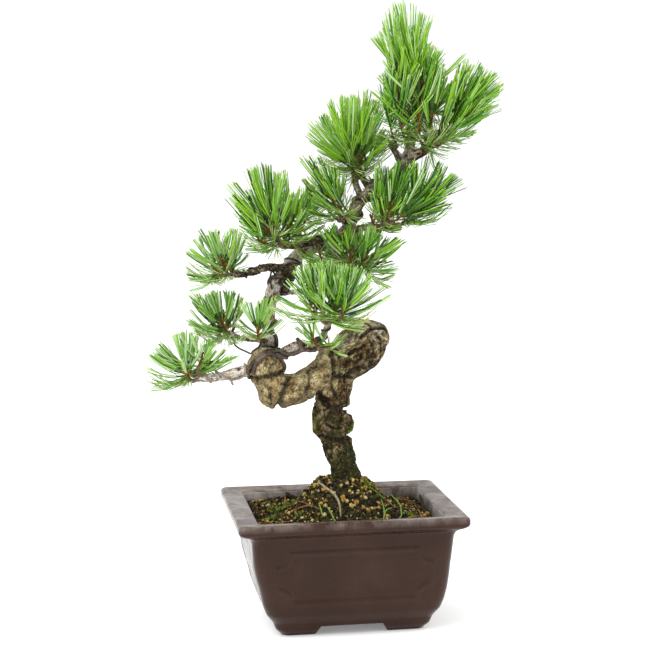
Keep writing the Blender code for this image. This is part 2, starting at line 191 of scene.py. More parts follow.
@dataclass
class Faces:
    """Corners and faces that are gathered for one joined piece.

    Attributes:
        corners: Arrays of places in millimetres.
        faces: Arrays of corner numbers, three or four to a row.
        finishes: Arrays with the number of each face's finish.
        count: The number of corners so far.
    """

    corners: list[np.ndarray] = field(default_factory=list)
    faces: list[np.ndarray] = field(default_factory=list)
    finishes: list[np.ndarray] = field(default_factory=list)
    count: int = 0

    def add(self, corners: np.ndarray, *groups: np.ndarray,
            finish: int | np.ndarray | list[np.ndarray] = 0) -> None:
        """Adds corners with the faces on them.

        Args:
            corners: Rows of places in millimetres.
            groups: Arrays of faces, three or four corner numbers to a row, counted from the first new corner.
            finish: The number of all new faces' finish, or a list with an array for each group.
        """
        numbers = finish if isinstance(finish, list) else [finish] * len(groups)
        for group, number in zip(groups, numbers):
            self.faces.append(np.asarray(group, np.int64) + self.count)
            self.finishes.append(np.broadcast_to(np.asarray(number, np.int64), len(group)).copy())
        self.corners.append(np.asarray(corners, float))
        self.count += len(corners)

    def triangles(self) -> int:
        """Counts the triangles that the faces come to."""
        return sum(len(group) * (group.shape[1] - 2) for group in self.faces)

    def piece(self, name: str, finishes: list[bpy.types.Material], origin: np.ndarray,
              smooth: bool = True) -> bpy.types.Object:
        """Makes one mesh object of all that was gathered.

        Args:
            name: The name of the new object.
            finishes: Its materials, in the order that the faces' numbers mean.
            origin: The place of the pot's foot in the frame, in metres.
            smooth: Whether the faces are shaded as one smooth surface.

        Returns:
            The new object, linked to the scene.
        """
        mesh = bpy.data.meshes.new(name)
        corners = np.vstack(self.corners) * MM + origin
        order = np.concatenate([group.ravel() for group in self.faces])
        sizes = np.concatenate([np.full(len(group), group.shape[1]) for group in self.faces])
        mesh.vertices.add(len(corners))
        mesh.vertices.foreach_set("co", corners.ravel())
        mesh.loops.add(len(order))
        mesh.loops.foreach_set("vertex_index", order.astype(np.int32))
        mesh.polygons.add(len(sizes))
        starts = np.concatenate([[0], np.cumsum(sizes)[:-1]])
        mesh.polygons.foreach_set("loop_start", starts.astype(np.int32))
        mesh.polygons.foreach_set("material_index", np.concatenate(self.finishes).astype(np.int32))
        mesh.polygons.foreach_set("use_smooth", np.full(len(sizes), smooth))
        mesh.update(calc_edges=True)
        for finish in finishes:
            mesh.materials.append(finish)
        made = bpy.data.objects.new(name, mesh)
        bpy.context.collection.objects.link(made)
        return made


def ring_faces(rings: int, sides: int) -> np.ndarray:
    """Gives the four-cornered faces between rings of the same number of corners."""
    ring, side = np.meshgrid(np.arange(rings - 1), np.arange(sides), indexing="ij")
    ahead = (side + 1) % sides
    rows = (ring * sides + side, ring * sides + ahead, (ring + 1) * sides + ahead, (ring + 1) * sides + side)
    return np.stack(rows, -1).reshape(-1, 4)


def tube(path: np.ndarray, sides: int, round_start: bool = False,
         round_end: bool = True) -> tuple[np.ndarray, np.ndarray, np.ndarray]:
    """Makes a closed tube along a path.

    Args:
        path: Rows of x, y, z and radius.
        sides: The number of corners round the tube.
        round_start: Whether the first end is domed.
        round_end: Whether the last end is domed.

    Returns:
        The corners, the faces of four corners and the faces of three.
    """
    heading, side, other = frames(path)
    rows = [(row[:3], row[3], side[i], other[i]) for i, row in enumerate(path)]
    dome = [math.radians(angle) for angle in (25, 48, 68, 82)]
    if round_start:
        first, r = path[0, :3], path[0, 3]
        extra = [(first - heading[0] * r * math.sin(a), r * math.cos(a), side[0], other[0]) for a in dome]
        rows = extra[::-1] + rows
    if round_end:
        last, r = path[-1, :3], path[-1, 3]
        rows += [(last + heading[-1] * r * math.sin(a), r * math.cos(a), side[-1], other[-1]) for a in dome]
    turn = full_turn(sides)
    cos, sin = np.cos(turn)[:, None], np.sin(turn)[:, None]
    corners = np.vstack([middle + radius * (cos * u + sin * v) for middle, radius, u, v in rows])
    ends = np.array([rows[0][0], rows[-1][0]])
    first_end, last_end = len(corners), len(corners) + 1
    around = np.arange(sides)
    ahead = (around + 1) % sides
    start = (len(rows) - 1) * sides
    caps = np.vstack([
        np.stack([np.full(sides, first_end), ahead, around], -1),
        np.stack([np.full(sides, last_end), start + around, start + ahead], -1),
    ])
    return np.vstack([corners, ends]), ring_faces(len(rows), sides), caps


class Nodes:
    """A material's nodes, added one by one behind its main shader."""

    def __init__(self, name: str, **settings: float | Colour) -> None:
        """Starts a material whose main shader has the named settings.

        Args:
            name: The material's name.
            settings: Socket names with underscores for spaces, and their values.
        """
        self.material = bpy.data.materials.new(name)
        self.material.use_nodes = True
        self.tree = self.material.node_tree
        self.shader = self.tree.nodes["Principled BSDF"]
        for socket, value in settings.items():
            self.shader.inputs[socket.replace("_", " ")].default_value = value
        self.place = self.add("ShaderNodeTexCoord").outputs["Object"]

    def add(self, kind: str, **inputs: object) -> bpy.types.Node:
        """Adds a node, and sets or links its inputs.

        Args:
            kind: Blender's name for the node.
            inputs: Input names with underscores for spaces. A value is set, and a socket is linked.

        Returns:
            The new node.
        """
        node = self.tree.nodes.new(kind)
        for name, value in inputs.items():
            socket = node.inputs[name.replace("_", " ")]
            if isinstance(value, bpy.types.NodeSocket):
                self.tree.links.new(value, socket)
            else:
                socket.default_value = value
        return node

    def cloud(self, scale: float, detail: float = 3.0, roughness: float = 0.55,
              place: bpy.types.NodeSocket | None = None) -> bpy.types.NodeSocket:
        """Adds smooth noise and gives its value."""
        node = self.add("ShaderNodeTexNoise", Vector=place or self.place, Scale=scale, Detail=detail,
                        Roughness=roughness)
        return node.outputs["Fac"]

    def stretched(self, x: float, y: float, z: float) -> bpy.types.NodeSocket:
        """Gives the place with each axis stretched by its own amount."""
        node = self.add("ShaderNodeMapping", Vector=self.place)
        node.inputs["Scale"].default_value = (x, y, z)
        return node.outputs["Vector"]

    def ramp(self, value: bpy.types.NodeSocket, *stops: tuple[float, Colour | float]) -> bpy.types.NodeSocket:
        """Turns a value into colours or greys by its stops.

        Args:
            value: The socket that drives the ramp.
            stops: Pairs of a position and a colour, or of a position and a grey.

        Returns:
            The ramp's colour.
        """
        node = self.add("ShaderNodeValToRGB", Fac=value)
        steps = node.color_ramp.elements
        while len(steps) < len(stops):
            steps.new(0.5)
        for step, (at, colour) in zip(steps, stops):
            step.position = at
            step.color = colour if isinstance(colour, tuple) else (colour, colour, colour, 1.0)
        return node.outputs["Color"]

    def mix(self, amount: bpy.types.NodeSocket | float, first: bpy.types.NodeSocket | Colour,
            second: bpy.types.NodeSocket | Colour, blend: str = "MIX") -> bpy.types.NodeSocket:
        """Mixes two colours.

        Args:
            amount: How much of the second shows.
            first: The colour underneath.
            second: The colour on top.
            blend: Blender's name for the way of mixing.

        Returns:
            The mixed colour.
        """
        node = self.tree.nodes.new("ShaderNodeMix")
        node.data_type = "RGBA"
        node.blend_type = blend
        for number, value in ((0, amount), (6, first), (7, second)):
            if isinstance(value, bpy.types.NodeSocket):
                self.tree.links.new(value, node.inputs[number])
            else:
                node.inputs[number].default_value = value
        return node.outputs[2]

    def times(self, first: bpy.types.NodeSocket, second: bpy.types.NodeSocket) -> bpy.types.NodeSocket:
        """Multiplies two values."""
        node = self.tree.nodes.new("ShaderNodeMath")
        node.operation = "MULTIPLY"
        node.use_clamp = True
        self.tree.links.new(first, node.inputs[0])
        self.tree.links.new(second, node.inputs[1])
        return node.outputs[0]

    def axis(self, name: str) -> bpy.types.NodeSocket:
        """Gives one coordinate of the place, X, Y or Z."""
        return self.add("ShaderNodeSeparateXYZ", Vector=self.place).outputs[name]

    def span(self, value: bpy.types.NodeSocket, low: float, high: float) -> bpy.types.NodeSocket:
        """Turns the values from low to high into 0 to 1."""
        return self.add("ShaderNodeMapRange", Value=value, From_Min=low, From_Max=high).outputs["Result"]

    def colour(self, socket: bpy.types.NodeSocket) -> None:
        """Takes the surface's colour from a socket."""
        self.tree.links.new(socket, self.shader.inputs["Base Color"])

    def dullness(self, socket: bpy.types.NodeSocket) -> None:
        """Takes the surface's roughness from a socket."""
        self.tree.links.new(socket, self.shader.inputs["Roughness"])

    def bump(self, height: bpy.types.NodeSocket, strength: float, distance: float) -> None:
        """Raises the surface by a height, over any bump that it has."""
        node = self.add("ShaderNodeBump", Height=height, Strength=strength, Distance=distance)
        held = self.shader.inputs["Normal"].links
        if held:
            self.tree.links.new(held[0].from_socket, node.inputs["Normal"])
        self.tree.links.new(node.outputs["Normal"], self.shader.inputs["Normal"])


@dataclass(frozen=True)
class ClayFinish:
    """Unglazed brown clay with fine grain, dull patches and limescale near the rim.

    Attributes:
        clay: The clay's main colour.
        dark: Its darker patches.
        dusty: Its paler, dusty patches.
        scale: The limescale's colour.
        rim_height: The height in metres above which limescale shows.
    """

    clay: Colour = srgb(52, 32, 23)
    dark: Colour = srgb(46, 27, 19)
    dusty: Colour = srgb(60, 40, 31)
    scale: Colour = srgb(142, 130, 122)
    rim_height: float = 0.0795

    def material(self) -> bpy.types.Material:
        """Makes the clay's material."""
        n = Nodes("brown_clay", Specular_IOR_Level=0.16)
        patches = n.ramp(n.cloud(22.0, 4.0), (0.32, self.dark), (0.52, self.clay), (0.75, self.dusty))
        grain = n.ramp(n.cloud(900.0, 2.0), (0.3, 0.82), (0.7, 1.0))
        ground = n.mix(1.0, patches, grain, "MULTIPLY")
        height = n.span(n.axis("Z"), self.rim_height - 0.004, self.rim_height + 0.0015)
        streaks = n.ramp(n.cloud(60.0, 6.0, 0.65, n.stretched(1.0, 1.0, 0.5)), (0.40, 0.04), (0.64, 0.72))
        n.colour(n.mix(n.times(height, streaks), ground, self.scale))
        n.dullness(n.ramp(n.cloud(140.0, 3.0), (0.3, 0.15), (0.7, 0.27)))
        n.bump(n.cloud(1500.0, 3.0), 0.12, 0.0002)
        n.bump(n.cloud(90.0, 4.0), 0.06, 0.0012)
        return n.material


@dataclass(frozen=True)
class WallFinish:
    """The inside of the pot's wall, brown clay under limescale and a dark tide of damp.

    Attributes:
        clay: The bare clay's colour.
        scale: The limescale's colour.
        damp: The dark stain's colour.
        dry: The height in metres where the stain starts.
        wet: The height in metres below which the wall is all stained.
    """

    clay: Colour = srgb(76, 62, 54)
    scale: Colour = srgb(158, 152, 146)
    damp: Colour = srgb(30, 25, 19)
    dry: float = 0.0775
    wet: float = 0.071

    def material(self) -> bpy.types.Material:
        """Makes the inside wall's material."""
        n = Nodes("limed_clay", Roughness=0.7)
        streaks = n.ramp(n.cloud(75.0, 8.0, 0.7, n.stretched(1.0, 1.0, 0.55)), (0.38, 0.05), (0.62, 0.95))
        limed = n.mix(streaks, self.clay, self.scale)
        edge = n.ramp(n.cloud(55.0, 4.0), (0.35, 0.25), (0.6, 1.0))
        tide = n.times(n.span(n.axis("Z"), self.dry, self.wet), edge)
        n.colour(n.mix(tide, limed, self.damp))
        n.bump(n.cloud(700.0, 4.0), 0.3, 0.0003)
        return n.material


@dataclass(frozen=True)
class BarkFinish:
    """Flaky pine bark, with dark cracks, painted shade, moss and pale lichen where the mesh says.

    Attributes:
        name: The material's name.
        shadow: The colour in the cracks, and of the painted shade in hollows, scars, undersides and dark
            spots.
        brown: The darker plates.
        tan: The main plates.
        light: The newly flaked, lightest spots.
        moss: The moss's colour.
        moss_light: The moss's lighter tips.
        lichen: The pale, smooth bark and lichen low on the tree.
        bleached: The paler, greyer bark higher up.
        mottle: The small brown spots on smooth bark.
        flake: The scale of the plates' pattern.
        bleached_from: The height in metres above which smooth bark is bleached.
    """

    name: str
    shadow: Colour = srgb(26, 19, 10)
    brown: Colour = srgb(92, 74, 42)
    tan: Colour = srgb(148, 134, 86)
    light: Colour = srgb(222, 208, 164)
    moss: Colour = srgb(22, 24, 9)
    moss_light: Colour = srgb(118, 120, 46)
    lichen: Colour = srgb(204, 188, 142)
    bleached: Colour = srgb(236, 228, 216)
    mottle: Colour = srgb(84, 66, 40)
    flake: float = 400.0
    bleached_from: float = 0.186

    def material(self) -> bpy.types.Material:
        """Makes the bark's material."""
        n = Nodes(self.name, Roughness=0.85, Specular_IOR_Level=0.2)
        tone = n.add("ShaderNodeAttribute")
        tone.attribute_name = BarkSkin.TONE
        parts = n.add("ShaderNodeSeparateColor", Color=tone.outputs["Color"]).outputs
        grown = n.add("ShaderNodeAttribute")
        grown.attribute_name = BarkSkin.ROWS
        rows = grown.outputs["Vector"]
        plates = n.ramp(n.cloud(self.flake, 5.0, 0.70, rows), (0.40, self.shadow), (0.46, self.brown),
                        (0.52, self.tan), (0.61, self.light))
        broad = n.ramp(n.cloud(110.0, 4.0), (0.40, srgb(166, 134, 98)), (0.54, WHITE))
        ground = n.mix(1.0, plates, broad, "MULTIPLY")
        grit = n.ramp(n.cloud(self.flake * 2.3, 3.0, 0.7), (0.41, 0.30), (0.47, 0.92), (0.60, 1.0))
        speckle = n.ramp(n.cloud(self.flake * 0.8, 6.0, 0.70, rows), (0.41, 0.0), (0.46, 0.45), (0.53, 1.0))
        clean = n.ramp(n.cloud(125.0, 3.0), (0.46, 0.0), (0.60, 0.75))
        high = n.span(n.axis("Z"), self.bleached_from, self.bleached_from + 0.01)
        bleached = n.mix(high, self.lichen, self.bleached)
        rusty = n.ramp(n.cloud(150.0, 4.0), (0.38, srgb(228, 204, 176)), (0.48, WHITE))
        mottled = n.mix(n.mix(clean, speckle, WHITE), self.mottle, bleached)
        pale = n.mix(1.0, mottled, rusty, "MULTIPLY")
        ground = n.mix(parts["Blue"], ground, pale)
        ground = n.mix(1.0, ground, grit, "MULTIPLY")
        green = n.ramp(n.cloud(620.0, 5.0, 0.7),
                       (0.43, self.shadow), (0.52, self.moss), (0.62, self.moss_light))
        ground = n.mix(parts["Green"], ground, green)
        # The red tone mixes in the shadow colour: the dark cracks and the painted shade.
        n.colour(n.mix(parts["Red"], ground, self.shadow))
        n.bump(n.cloud(self.flake * 1.4, 8.0, 0.7), 0.7, 0.0009)
        return n.material


@dataclass(frozen=True)
class PlainFinish:
    """One base colour with a fine grain in its surface, for small things that are dealt out by the thousand.

    Attributes:
        name: The material's name.
        colour: The base colour.
        roughness: How dull it is.
        grain: The scale of the fine bump.
        depth: The height of the fine bump in metres.
        sheen: The strength of soft light at its edges.
    """

    name: str
    colour: Colour
    roughness: float = 0.5
    grain: float = 1800.0
    depth: float = 0.0001
    sheen: float = 0.0

    def material(self) -> bpy.types.Material:
        """Makes the material."""
        n = Nodes(self.name, Base_Color=self.colour, Roughness=self.roughness, Sheen_Weight=self.sheen,
                  Specular_IOR_Level=0.3)
        n.bump(n.cloud(self.grain, 2.0), 0.25, self.depth)
        return n.material


@dataclass(frozen=True)
class SoilFinish:
    """Dark, crumbly potting soil with a mossy tinge.

    Attributes:
        dark: The wet hollows.
        brown: The crumbs.
        pale: Dry specks.
        green: The moss's film.
    """

    dark: Colour = srgb(12, 10, 6)
    brown: Colour = srgb(40, 33, 18)
    pale: Colour = srgb(100, 84, 46)
    green: Colour = srgb(58, 62, 20)

    def material(self) -> bpy.types.Material:
        """Makes the soil's material."""
        n = Nodes("dark_soil", Roughness=0.95, Specular_IOR_Level=0.2)
        crumbs = n.ramp(n.cloud(520.0, 7.0, 0.75), (0.42, self.dark), (0.54, self.brown), (0.68, self.pale))
        film = n.ramp(n.cloud(90.0, 5.0, 0.7), (0.50, 0.0), (0.62, 0.7))
        n.colour(n.mix(film, crumbs, self.green))
        n.bump(n.cloud(700.0, 6.0, 0.7), 0.9, 0.001)
        return n.material


@dataclass(frozen=True)
class GrainFinish:
    """A soil grain's colour, mottled from grain to grain.

    Attributes:
        name: The material's name.
        colour: The main colour.
        stain: The colour of its stained spots.
    """

    name: str
    colour: Colour
    stain: Colour = srgb(36, 30, 14)

    def material(self) -> bpy.types.Material:
        """Makes the grain's material."""
        n = Nodes(self.name, Roughness=0.92, Specular_IOR_Level=0.25)
        n.colour(n.mix(n.ramp(n.cloud(450.0, 5.0, 0.75), (0.44, 0.0), (0.60, 0.9)), self.colour, self.stain))
        n.bump(n.cloud(1300.0, 4.0), 0.5, 0.0004)
        return n.material


@dataclass(frozen=True)
class WireFinish:
    """Wound training wire with a worn, dull surface.

    Attributes:
        name: The material's name.
        colour: The metal's coat.
        worn: The colour where the coat is worn.
        roughness: How dull it is.
        metallic: How metallic it is.
    """

    name: str
    colour: Colour
    worn: Colour
    roughness: float
    metallic: float

    def material(self) -> bpy.types.Material:
        """Makes the wire's material."""
        n = Nodes(self.name, Roughness=self.roughness, Metallic=self.metallic)
        n.colour(n.mix(n.ramp(n.cloud(240.0, 5.0, 0.65), (0.48, 0.0), (0.74, 0.7)), self.colour, self.worn))
        n.bump(n.cloud(900.0, 3.0), 0.2, 0.0002)
        return n.material


class Shade(Enum):
    """The base colours that needles are dealt, in the order of their slots."""

    FRESH = 0
    MIDDLE = 1
    DEEP = 2
    WAXY = 3
    TIP = 4
    OLD = 5
    OLD_WAXY = 6
    DRY = 7

    def material(self) -> bpy.types.Material:
        """Makes this shade's material."""
        colours = {
            Shade.FRESH: srgb(136, 184, 46),
            Shade.MIDDLE: srgb(90, 150, 34),
            Shade.DEEP: srgb(38, 80, 10),
            Shade.WAXY: srgb(174, 205, 142),
            Shade.TIP: srgb(184, 196, 92),
            Shade.OLD: srgb(108, 140, 50),
            Shade.OLD_WAXY: srgb(176, 195, 134),
            Shade.DRY: srgb(160, 126, 60),
        }
        return PlainFinish(f"needle_{self.name.lower()}", colours[self], 0.42, 2600.0, 0.00005).material()


def materials(finishes: Iterable) -> list[bpy.types.Material]:
    """Makes the materials of several finishes, in their order."""
    return [finish.material() for finish in finishes]


@dataclass(frozen=True)
class Limb:
    """A stretch of trunk or a bough.

    Attributes:
        name: The CAD node that it stands for.
        points: Rows of x, y, z and radius.
        rough: How deep the bark's plates are.
        plate: The plates' width.
        pale: How pale and smooth the bark is, from 0 to 1.
    """

    name: str
    points: tuple[tuple[float, float, float, float], ...]
    rough: float = 0.35
    plate: float = 2.4
    pale: float = 0.0


@dataclass(frozen=True)
class Scar:
    """A groove in the bark, from a wire or a fold.

    Attributes:
        points: Places that it passes: those with y below nought as seen from the front, the others from
            behind.
        width: Half of the groove's width.
        depth: How deep it is.
    """

    points: tuple[Point, ...]
    width: float
    depth: float

    def course(self, skin: BVHTree) -> np.ndarray:
        """Casts close places along the scar onto a skin, in millimetres."""
        laid = []
        for row in smooth_rows(self.points, 0.5):
            way = 1.0 if row[1] < 0 else -1.0
            hit = skin.ray_cast(Vector((row[0], -200.0 * way, row[2])), Vector((0.0, way, 0.0)))[0]
            laid.append(hit or skin.find_nearest(Vector(row))[0])
        return np.array(laid)

    def distance(self, skin: BVHTree, places: np.ndarray) -> np.ndarray:
        """Works out how far each place is from the scar's course."""
        course = self.course(skin)
        reach = 4.0 * self.width + 2.0
        near = ((places > course.min(0) - reach) & (places < course.max(0) + reach)).all(1)
        away = np.full(len(places), 1e3)
        chosen = places[near]
        found = [np.linalg.norm(part[:, None] - course[None], axis=2).min(1)
                 for part in np.array_split(chosen, max(1, len(chosen) // 4000))]
        away[near] = np.concatenate(found)
        return away


@dataclass
class Around:
    """Where corners lie along and round the limbs.

    Attributes:
        limb: The number of each corner's limb.
        along: Its distance along that limb.
        angle: Its turn round the limb, in radians.
        radius: The limb's radius there.
    """

    limb: np.ndarray
    along: np.ndarray
    angle: np.ndarray
    radius: np.ndarray

    def rows(self, stretch: float) -> np.ndarray:
        """Gives places for a pattern that follows the limbs, drawn out along them by stretch."""
        return np.stack([
            self.along / stretch + self.limb * 71.0,
            self.radius * np.cos(self.angle),
            self.radius * np.sin(self.angle),
        ], -1)


class Limbs:
    """The middle lines of several limbs, for finding where a place lies on them."""

    BATCH = 20000

    def __init__(self, limbs: list[Limb], spacing: float) -> None:
        """Runs a smooth line through each limb.

        Args:
            limbs: The limbs.
            spacing: The distance between the lines' rows.
        """
        self.limbs = limbs
        self.paths = [smooth_rows(limb.points, spacing) for limb in limbs]
        self.frames = [frames(path) for path in self.paths]
        steps = [np.linalg.norm(np.diff(path[:, :3], axis=0), axis=1) for path in self.paths]
        self.along = [np.concatenate([[0.0], np.cumsum(step)]) for step in steps]

    def around(self, places: np.ndarray) -> Around:
        """Finds the limb under each place, and where on it the place lies.

        Args:
            places: Rows of places in millimetres.

        Returns:
            The places' positions along and round their limbs.
        """
        rows = np.vstack(self.paths)
        owner = np.concatenate([np.full(len(path), i) for i, path in enumerate(self.paths)])
        along = np.concatenate(self.along)
        ahead, side, other = (np.vstack([frame[k] for frame in self.frames]) for k in range(3))
        best = np.empty(len(places), np.int64)
        for start in range(0, len(places), self.BATCH):
            part = places[start:start + self.BATCH]
            away = np.linalg.norm(part[:, None, :] - rows[None, :, :3], axis=2) - rows[None, :, 3]
            best[start:start + self.BATCH] = away.argmin(1)
        off = places - rows[best, :3]
        forward = (off * ahead[best]).sum(1)
        angle = np.arctan2((off * other[best]).sum(1), (off * side[best]).sum(1))
        return Around(owner[best], along[best] + forward, angle, rows[best, 3])


@dataclass
class Part:
    """Something that is built round the pot's foot.

    Attributes:
        origin: The place of the pot's foot in the frame, in metres.
    """

    origin: np.ndarray


@dataclass
class BarkSkin(Part):
    """The bark of trunk, knob, limb, leader and boughs, with plates, cracks, folds and wire scars.

    Attributes:
        thick: The limbs that grow into each other in one skin.
        thin: The boughs, each a tube of its own.
        scars: The grooves in the thick limbs.
        shades: Dark spots on them, mostly painted shade in the creases and under the limb, and darker bark up
            the leader: rows of x, y, z, size and strength.
        pitch: The size of the skin's faces.
        stretch: How far the plates are drawn out along a limb.
        weathering: How much darker the oldest bark is.
        small: The width of the small plates beside that of the large ones.
        crack: Where the dark of a crack ends inside a large plate and a small one, as a share of its width.
        underside: How much painted shade darkens bark that looks down.
        moss_foot: The heights between which the thick moss of the foot ends.
        moss_top: The heights between which the patches of moss end.
        swell: How much thicker a bough is where it leaves its limb, and how far that reaches.
    """

    TONE = "tone"
    ROWS = "rows"

    thick: tuple[Limb, ...]
    thin: tuple[Limb, ...]
    scars: tuple[Scar, ...]
    shades: tuple[tuple[float, float, float, float, float], ...]
    pitch: float = 0.52
    stretch: float = 1.35
    weathering: float = 0.3
    small: float = 0.42
    crack: tuple[float, float] = (0.24, 0.22)
    underside: float = 0.50
    moss_foot: tuple[float, float] = (102.0, 122.0)
    moss_top: tuple[float, float] = (140.0, 154.0)
    swell: tuple[float, float] = (0.35, 4.5)

    def relief(self, places: np.ndarray, normals: np.ndarray, where: Around, limbs: Limbs,
               skin: BVHTree | None) -> tuple[np.ndarray, np.ndarray]:
        """Works out the height and tone of the bark at each corner.

        Args:
            places: Rows of places in millimetres.
            normals: The smooth skin's directions there.
            where: Where they lie along and round the limbs.
            limbs: The limbs under them.
            skin: The smooth skin for laying scars on, or None where there are none.

        Returns:
            The height to raise each corner by, and rows of dark tone (cracks and painted shade), moss and
            pale tone.
        """
        rough, plate, pale = (np.array([getattr(limb, key) for limb in limbs.limbs])[where.limb]
                              for key in ("rough", "plate", "pale"))
        rows = where.rows(self.stretch)
        bent = rows + 1.2 * np.stack([noise_at(rows, 3.4, shift) for shift in (5.0, 17.0, 29.0)], -1)
        edge, lift = self.plates(bent, plate)
        small_edge, small_lift = self.plates(bent + 50.0, plate * self.small)
        crack, small_crack = (1.0 - smooth_step(0.02, end, inside)
                              for end, inside in zip(self.crack, (edge, small_edge)))
        some = smooth_step(-0.20, 0.35, noise_at(places, 8.0, 41.0))
        few = smooth_step(-0.25, 0.30, noise_at(places, 4.5, 91.0))
        height = rough * some * (0.45 * (lift - 0.5) - 0.85 * crack)
        height += (0.12 + 0.30 * rough) * few * (0.5 * (small_lift - 0.5) - 0.7 * small_crack)
        height += (0.40 + 0.45 * rough) * noise_at(places, 8.0) + 0.20 * noise_at(rows, 1.7, 3.0)
        height += 0.12 * noise_at(rows, 0.8, 9.0)
        old = np.clip(rough + 0.1, 0.3, 1.0)
        dark = np.maximum(0.90 * crack * some * old, 0.38 * small_crack * few)
        if skin:
            dark = self.cut_scars(places, height, dark, skin)
        # Painted shade in the bark's hollows, darker the deeper they lie.
        dark = np.maximum(dark, 0.75 * smooth_step(0.0, -1.1, height))
        # Painted shade on bark that looks down.
        dark = np.maximum(dark, self.underside * smooth_step(0.0, -0.8, normals[:, 2]))
        # The dark spots: mostly painted shade, with darker bark up the leader.
        if skin:
            dark = self.shaded(places, dark)
        dark = 1.0 - (1.0 - dark) * (1.0 - self.weathering * smooth_step(0.6, 1.0, rough))
        return height, np.stack([dark, *self.growth(places, pale)], -1)

    def cut_scars(self, places: np.ndarray, height: np.ndarray, dark: np.ndarray,
                  skin: BVHTree) -> np.ndarray:
        """Cuts the scars into the bark's height, with a raised lip on both sides, and paints shade in and
        beside them.

        Args:
            places: Rows of places in millimetres.
            height: The bark's height there, which is changed.
            dark: How dark it is there.
            skin: The smooth skin that the scars are laid on.

        Returns:
            How dark it is with the painted shade of the scars.
        """
        for scar in self.scars:
            away = np.maximum(scar.distance(skin, places) + 0.6 * noise_at(places, 2.5, 12.0), 0.0)
            height -= scar.depth * np.exp(-(away / scar.width) ** 2)
            height += 0.22 * scar.depth * np.exp(-((away - 2.3 * scar.width) / (1.2 * scar.width)) ** 2)
            # Painted shade in each groove, and a softer one beside it.
            for amount, reach in ((0.95, 0.55), (0.45, 1.5)):
                dark = np.maximum(dark, amount * np.exp(-(away / (reach * scar.width)) ** 2))
        return dark

    def shaded(self, places: np.ndarray, dark: np.ndarray) -> np.ndarray:
        """Adds the dark spots, mostly painted shade, to how dark the bark is at each place."""
        for x, y, z, size, amount in self.shades:
            away = np.linalg.norm(places - (x, y, z), axis=1) / size
            dark = np.maximum(dark, amount * np.exp(-away ** 2) * (0.8 + 0.5 * noise_at(places, 3.0, 31.0)))
        return dark

    def growth(self, places: np.ndarray, pale: np.ndarray) -> tuple[np.ndarray, np.ndarray]:
        """Works out where moss and pale bark show.

        Args:
            places: Rows of places in millimetres.
            pale: How pale the limb under each place is.

        Returns:
            The tone of moss and of pale bark at each place, from 0 to 1.
        """
        x, z = places[:, 0], places[:, 2]
        low = 1.0 - smooth_step(*self.moss_foot, z - 0.8 * x + 10.0 * noise_at(places, 9.0, 53.0))
        patch = smooth_step(-0.15, 0.28, noise_at(places, 5.5, 67.0))
        moss = np.clip(low + 0.85 * patch * (1.0 - smooth_step(*self.moss_top, z)), 0.0, 1.0)
        bulge = smooth_step(2.0, 16.0, x) * (1.0 - smooth_step(176.0, 200.0, z))
        moss = np.clip(moss + 0.55 * patch * bulge, 0.0, 1.0) * smooth_step(-30.0, -16.0, x)
        pale = pale * (1.0 - 0.65 * smooth_step(244.0, 262.0, z))
        lichen = np.clip(pale + 0.5 * smooth_step(0.05, 0.45, noise_at(places, 6.0, 83.0)), 0.0, 1.0)
        return moss * 0.9, lichen

    def plates(self, rows: np.ndarray, width: np.ndarray) -> tuple[np.ndarray, np.ndarray]:
        """Splits the bark into plates.

        Args:
            rows: Places that follow the limbs.
            width: The plates' width at each.

        Returns:
            How far each place is inside its plate, from 0 at the edge, and the plate's lift from 0 to 1.
        """
        edge, lift = np.empty(len(rows)), np.empty(len(rows))
        for i, row in enumerate((rows / width[:, None]).tolist()):
            distances, middles = noise.voronoi(row)
            edge[i] = distances[1] - distances[0]
            lift[i] = noise.cell(middles[0] * 7.3)
        return edge, lift

    def raise_bark(self, piece: bpy.types.Object, limbs: Limbs, scarred: bool = False) -> None:
        """Raises a mesh's corners by the bark's relief, and stores the bark's tone on them.

        Args:
            piece: The object whose mesh gets the relief.
            limbs: The limbs in it.
            scarred: Whether the scars are cut into it.
        """
        mesh = piece.data
        places = corner_rows(mesh).astype(float)
        places = (places - self.origin) / MM
        where = limbs.around(places)
        normals = normal_rows(mesh)
        skin = None
        if scarred:
            skin = BVHTree.FromPolygons(places.tolist(), [tuple(face.vertices) for face in mesh.polygons])
        height, tone = self.relief(places, normals, where, limbs, skin)
        places += normals * height[:, None]
        mesh.vertices.foreach_set("co", (places * MM + self.origin).astype(np.float32).ravel())
        colours = mesh.color_attributes.new(self.TONE, "FLOAT_COLOR", "POINT")
        colours.data.foreach_set("color", np.c_[tone, np.ones(len(tone))].astype(np.float32).ravel())
        grown = mesh.attributes.new(self.ROWS, "FLOAT_VECTOR", "POINT")
        grown.data.foreach_set("vector", (where.rows(self.stretch) * MM).astype(np.float32).ravel())
        mesh.update()

    def build_thick(self) -> bpy.types.Object:
        """Makes the one skin of the thick limbs.

        Returns:
            The piece.
        """
        gathered = Faces()
        for limb in self.thick:
            gathered.add(*tube(smooth_rows(limb.points, 1.2), 44, round_start=True))
        loose = gathered.piece("bark_trunk_tubes", [], self.origin)
        skin = loose.modifiers.new("skin", "REMESH")
        skin.mode = "VOXEL"
        skin.voxel_size = self.pitch * MM
        soft = loose.modifiers.new("soft", "SMOOTH")
        soft.factor = 0.5
        soft.iterations = 5
        mesh = bpy.data.meshes.new_from_object(loose.evaluated_get(bpy.context.evaluated_depsgraph_get()))
        bpy.data.objects.remove(loose)
        mesh.name = "bark_trunk"
        piece = bpy.data.objects.new("bark_trunk", mesh)
        bpy.context.collection.objects.link(piece)
        mesh.materials.clear()
        mesh.materials.append(BarkFinish("trunk_bark").material())
        mesh.shade_smooth()
        self.raise_bark(piece, Limbs(list(self.thick), 1.0), scarred=True)
        return piece

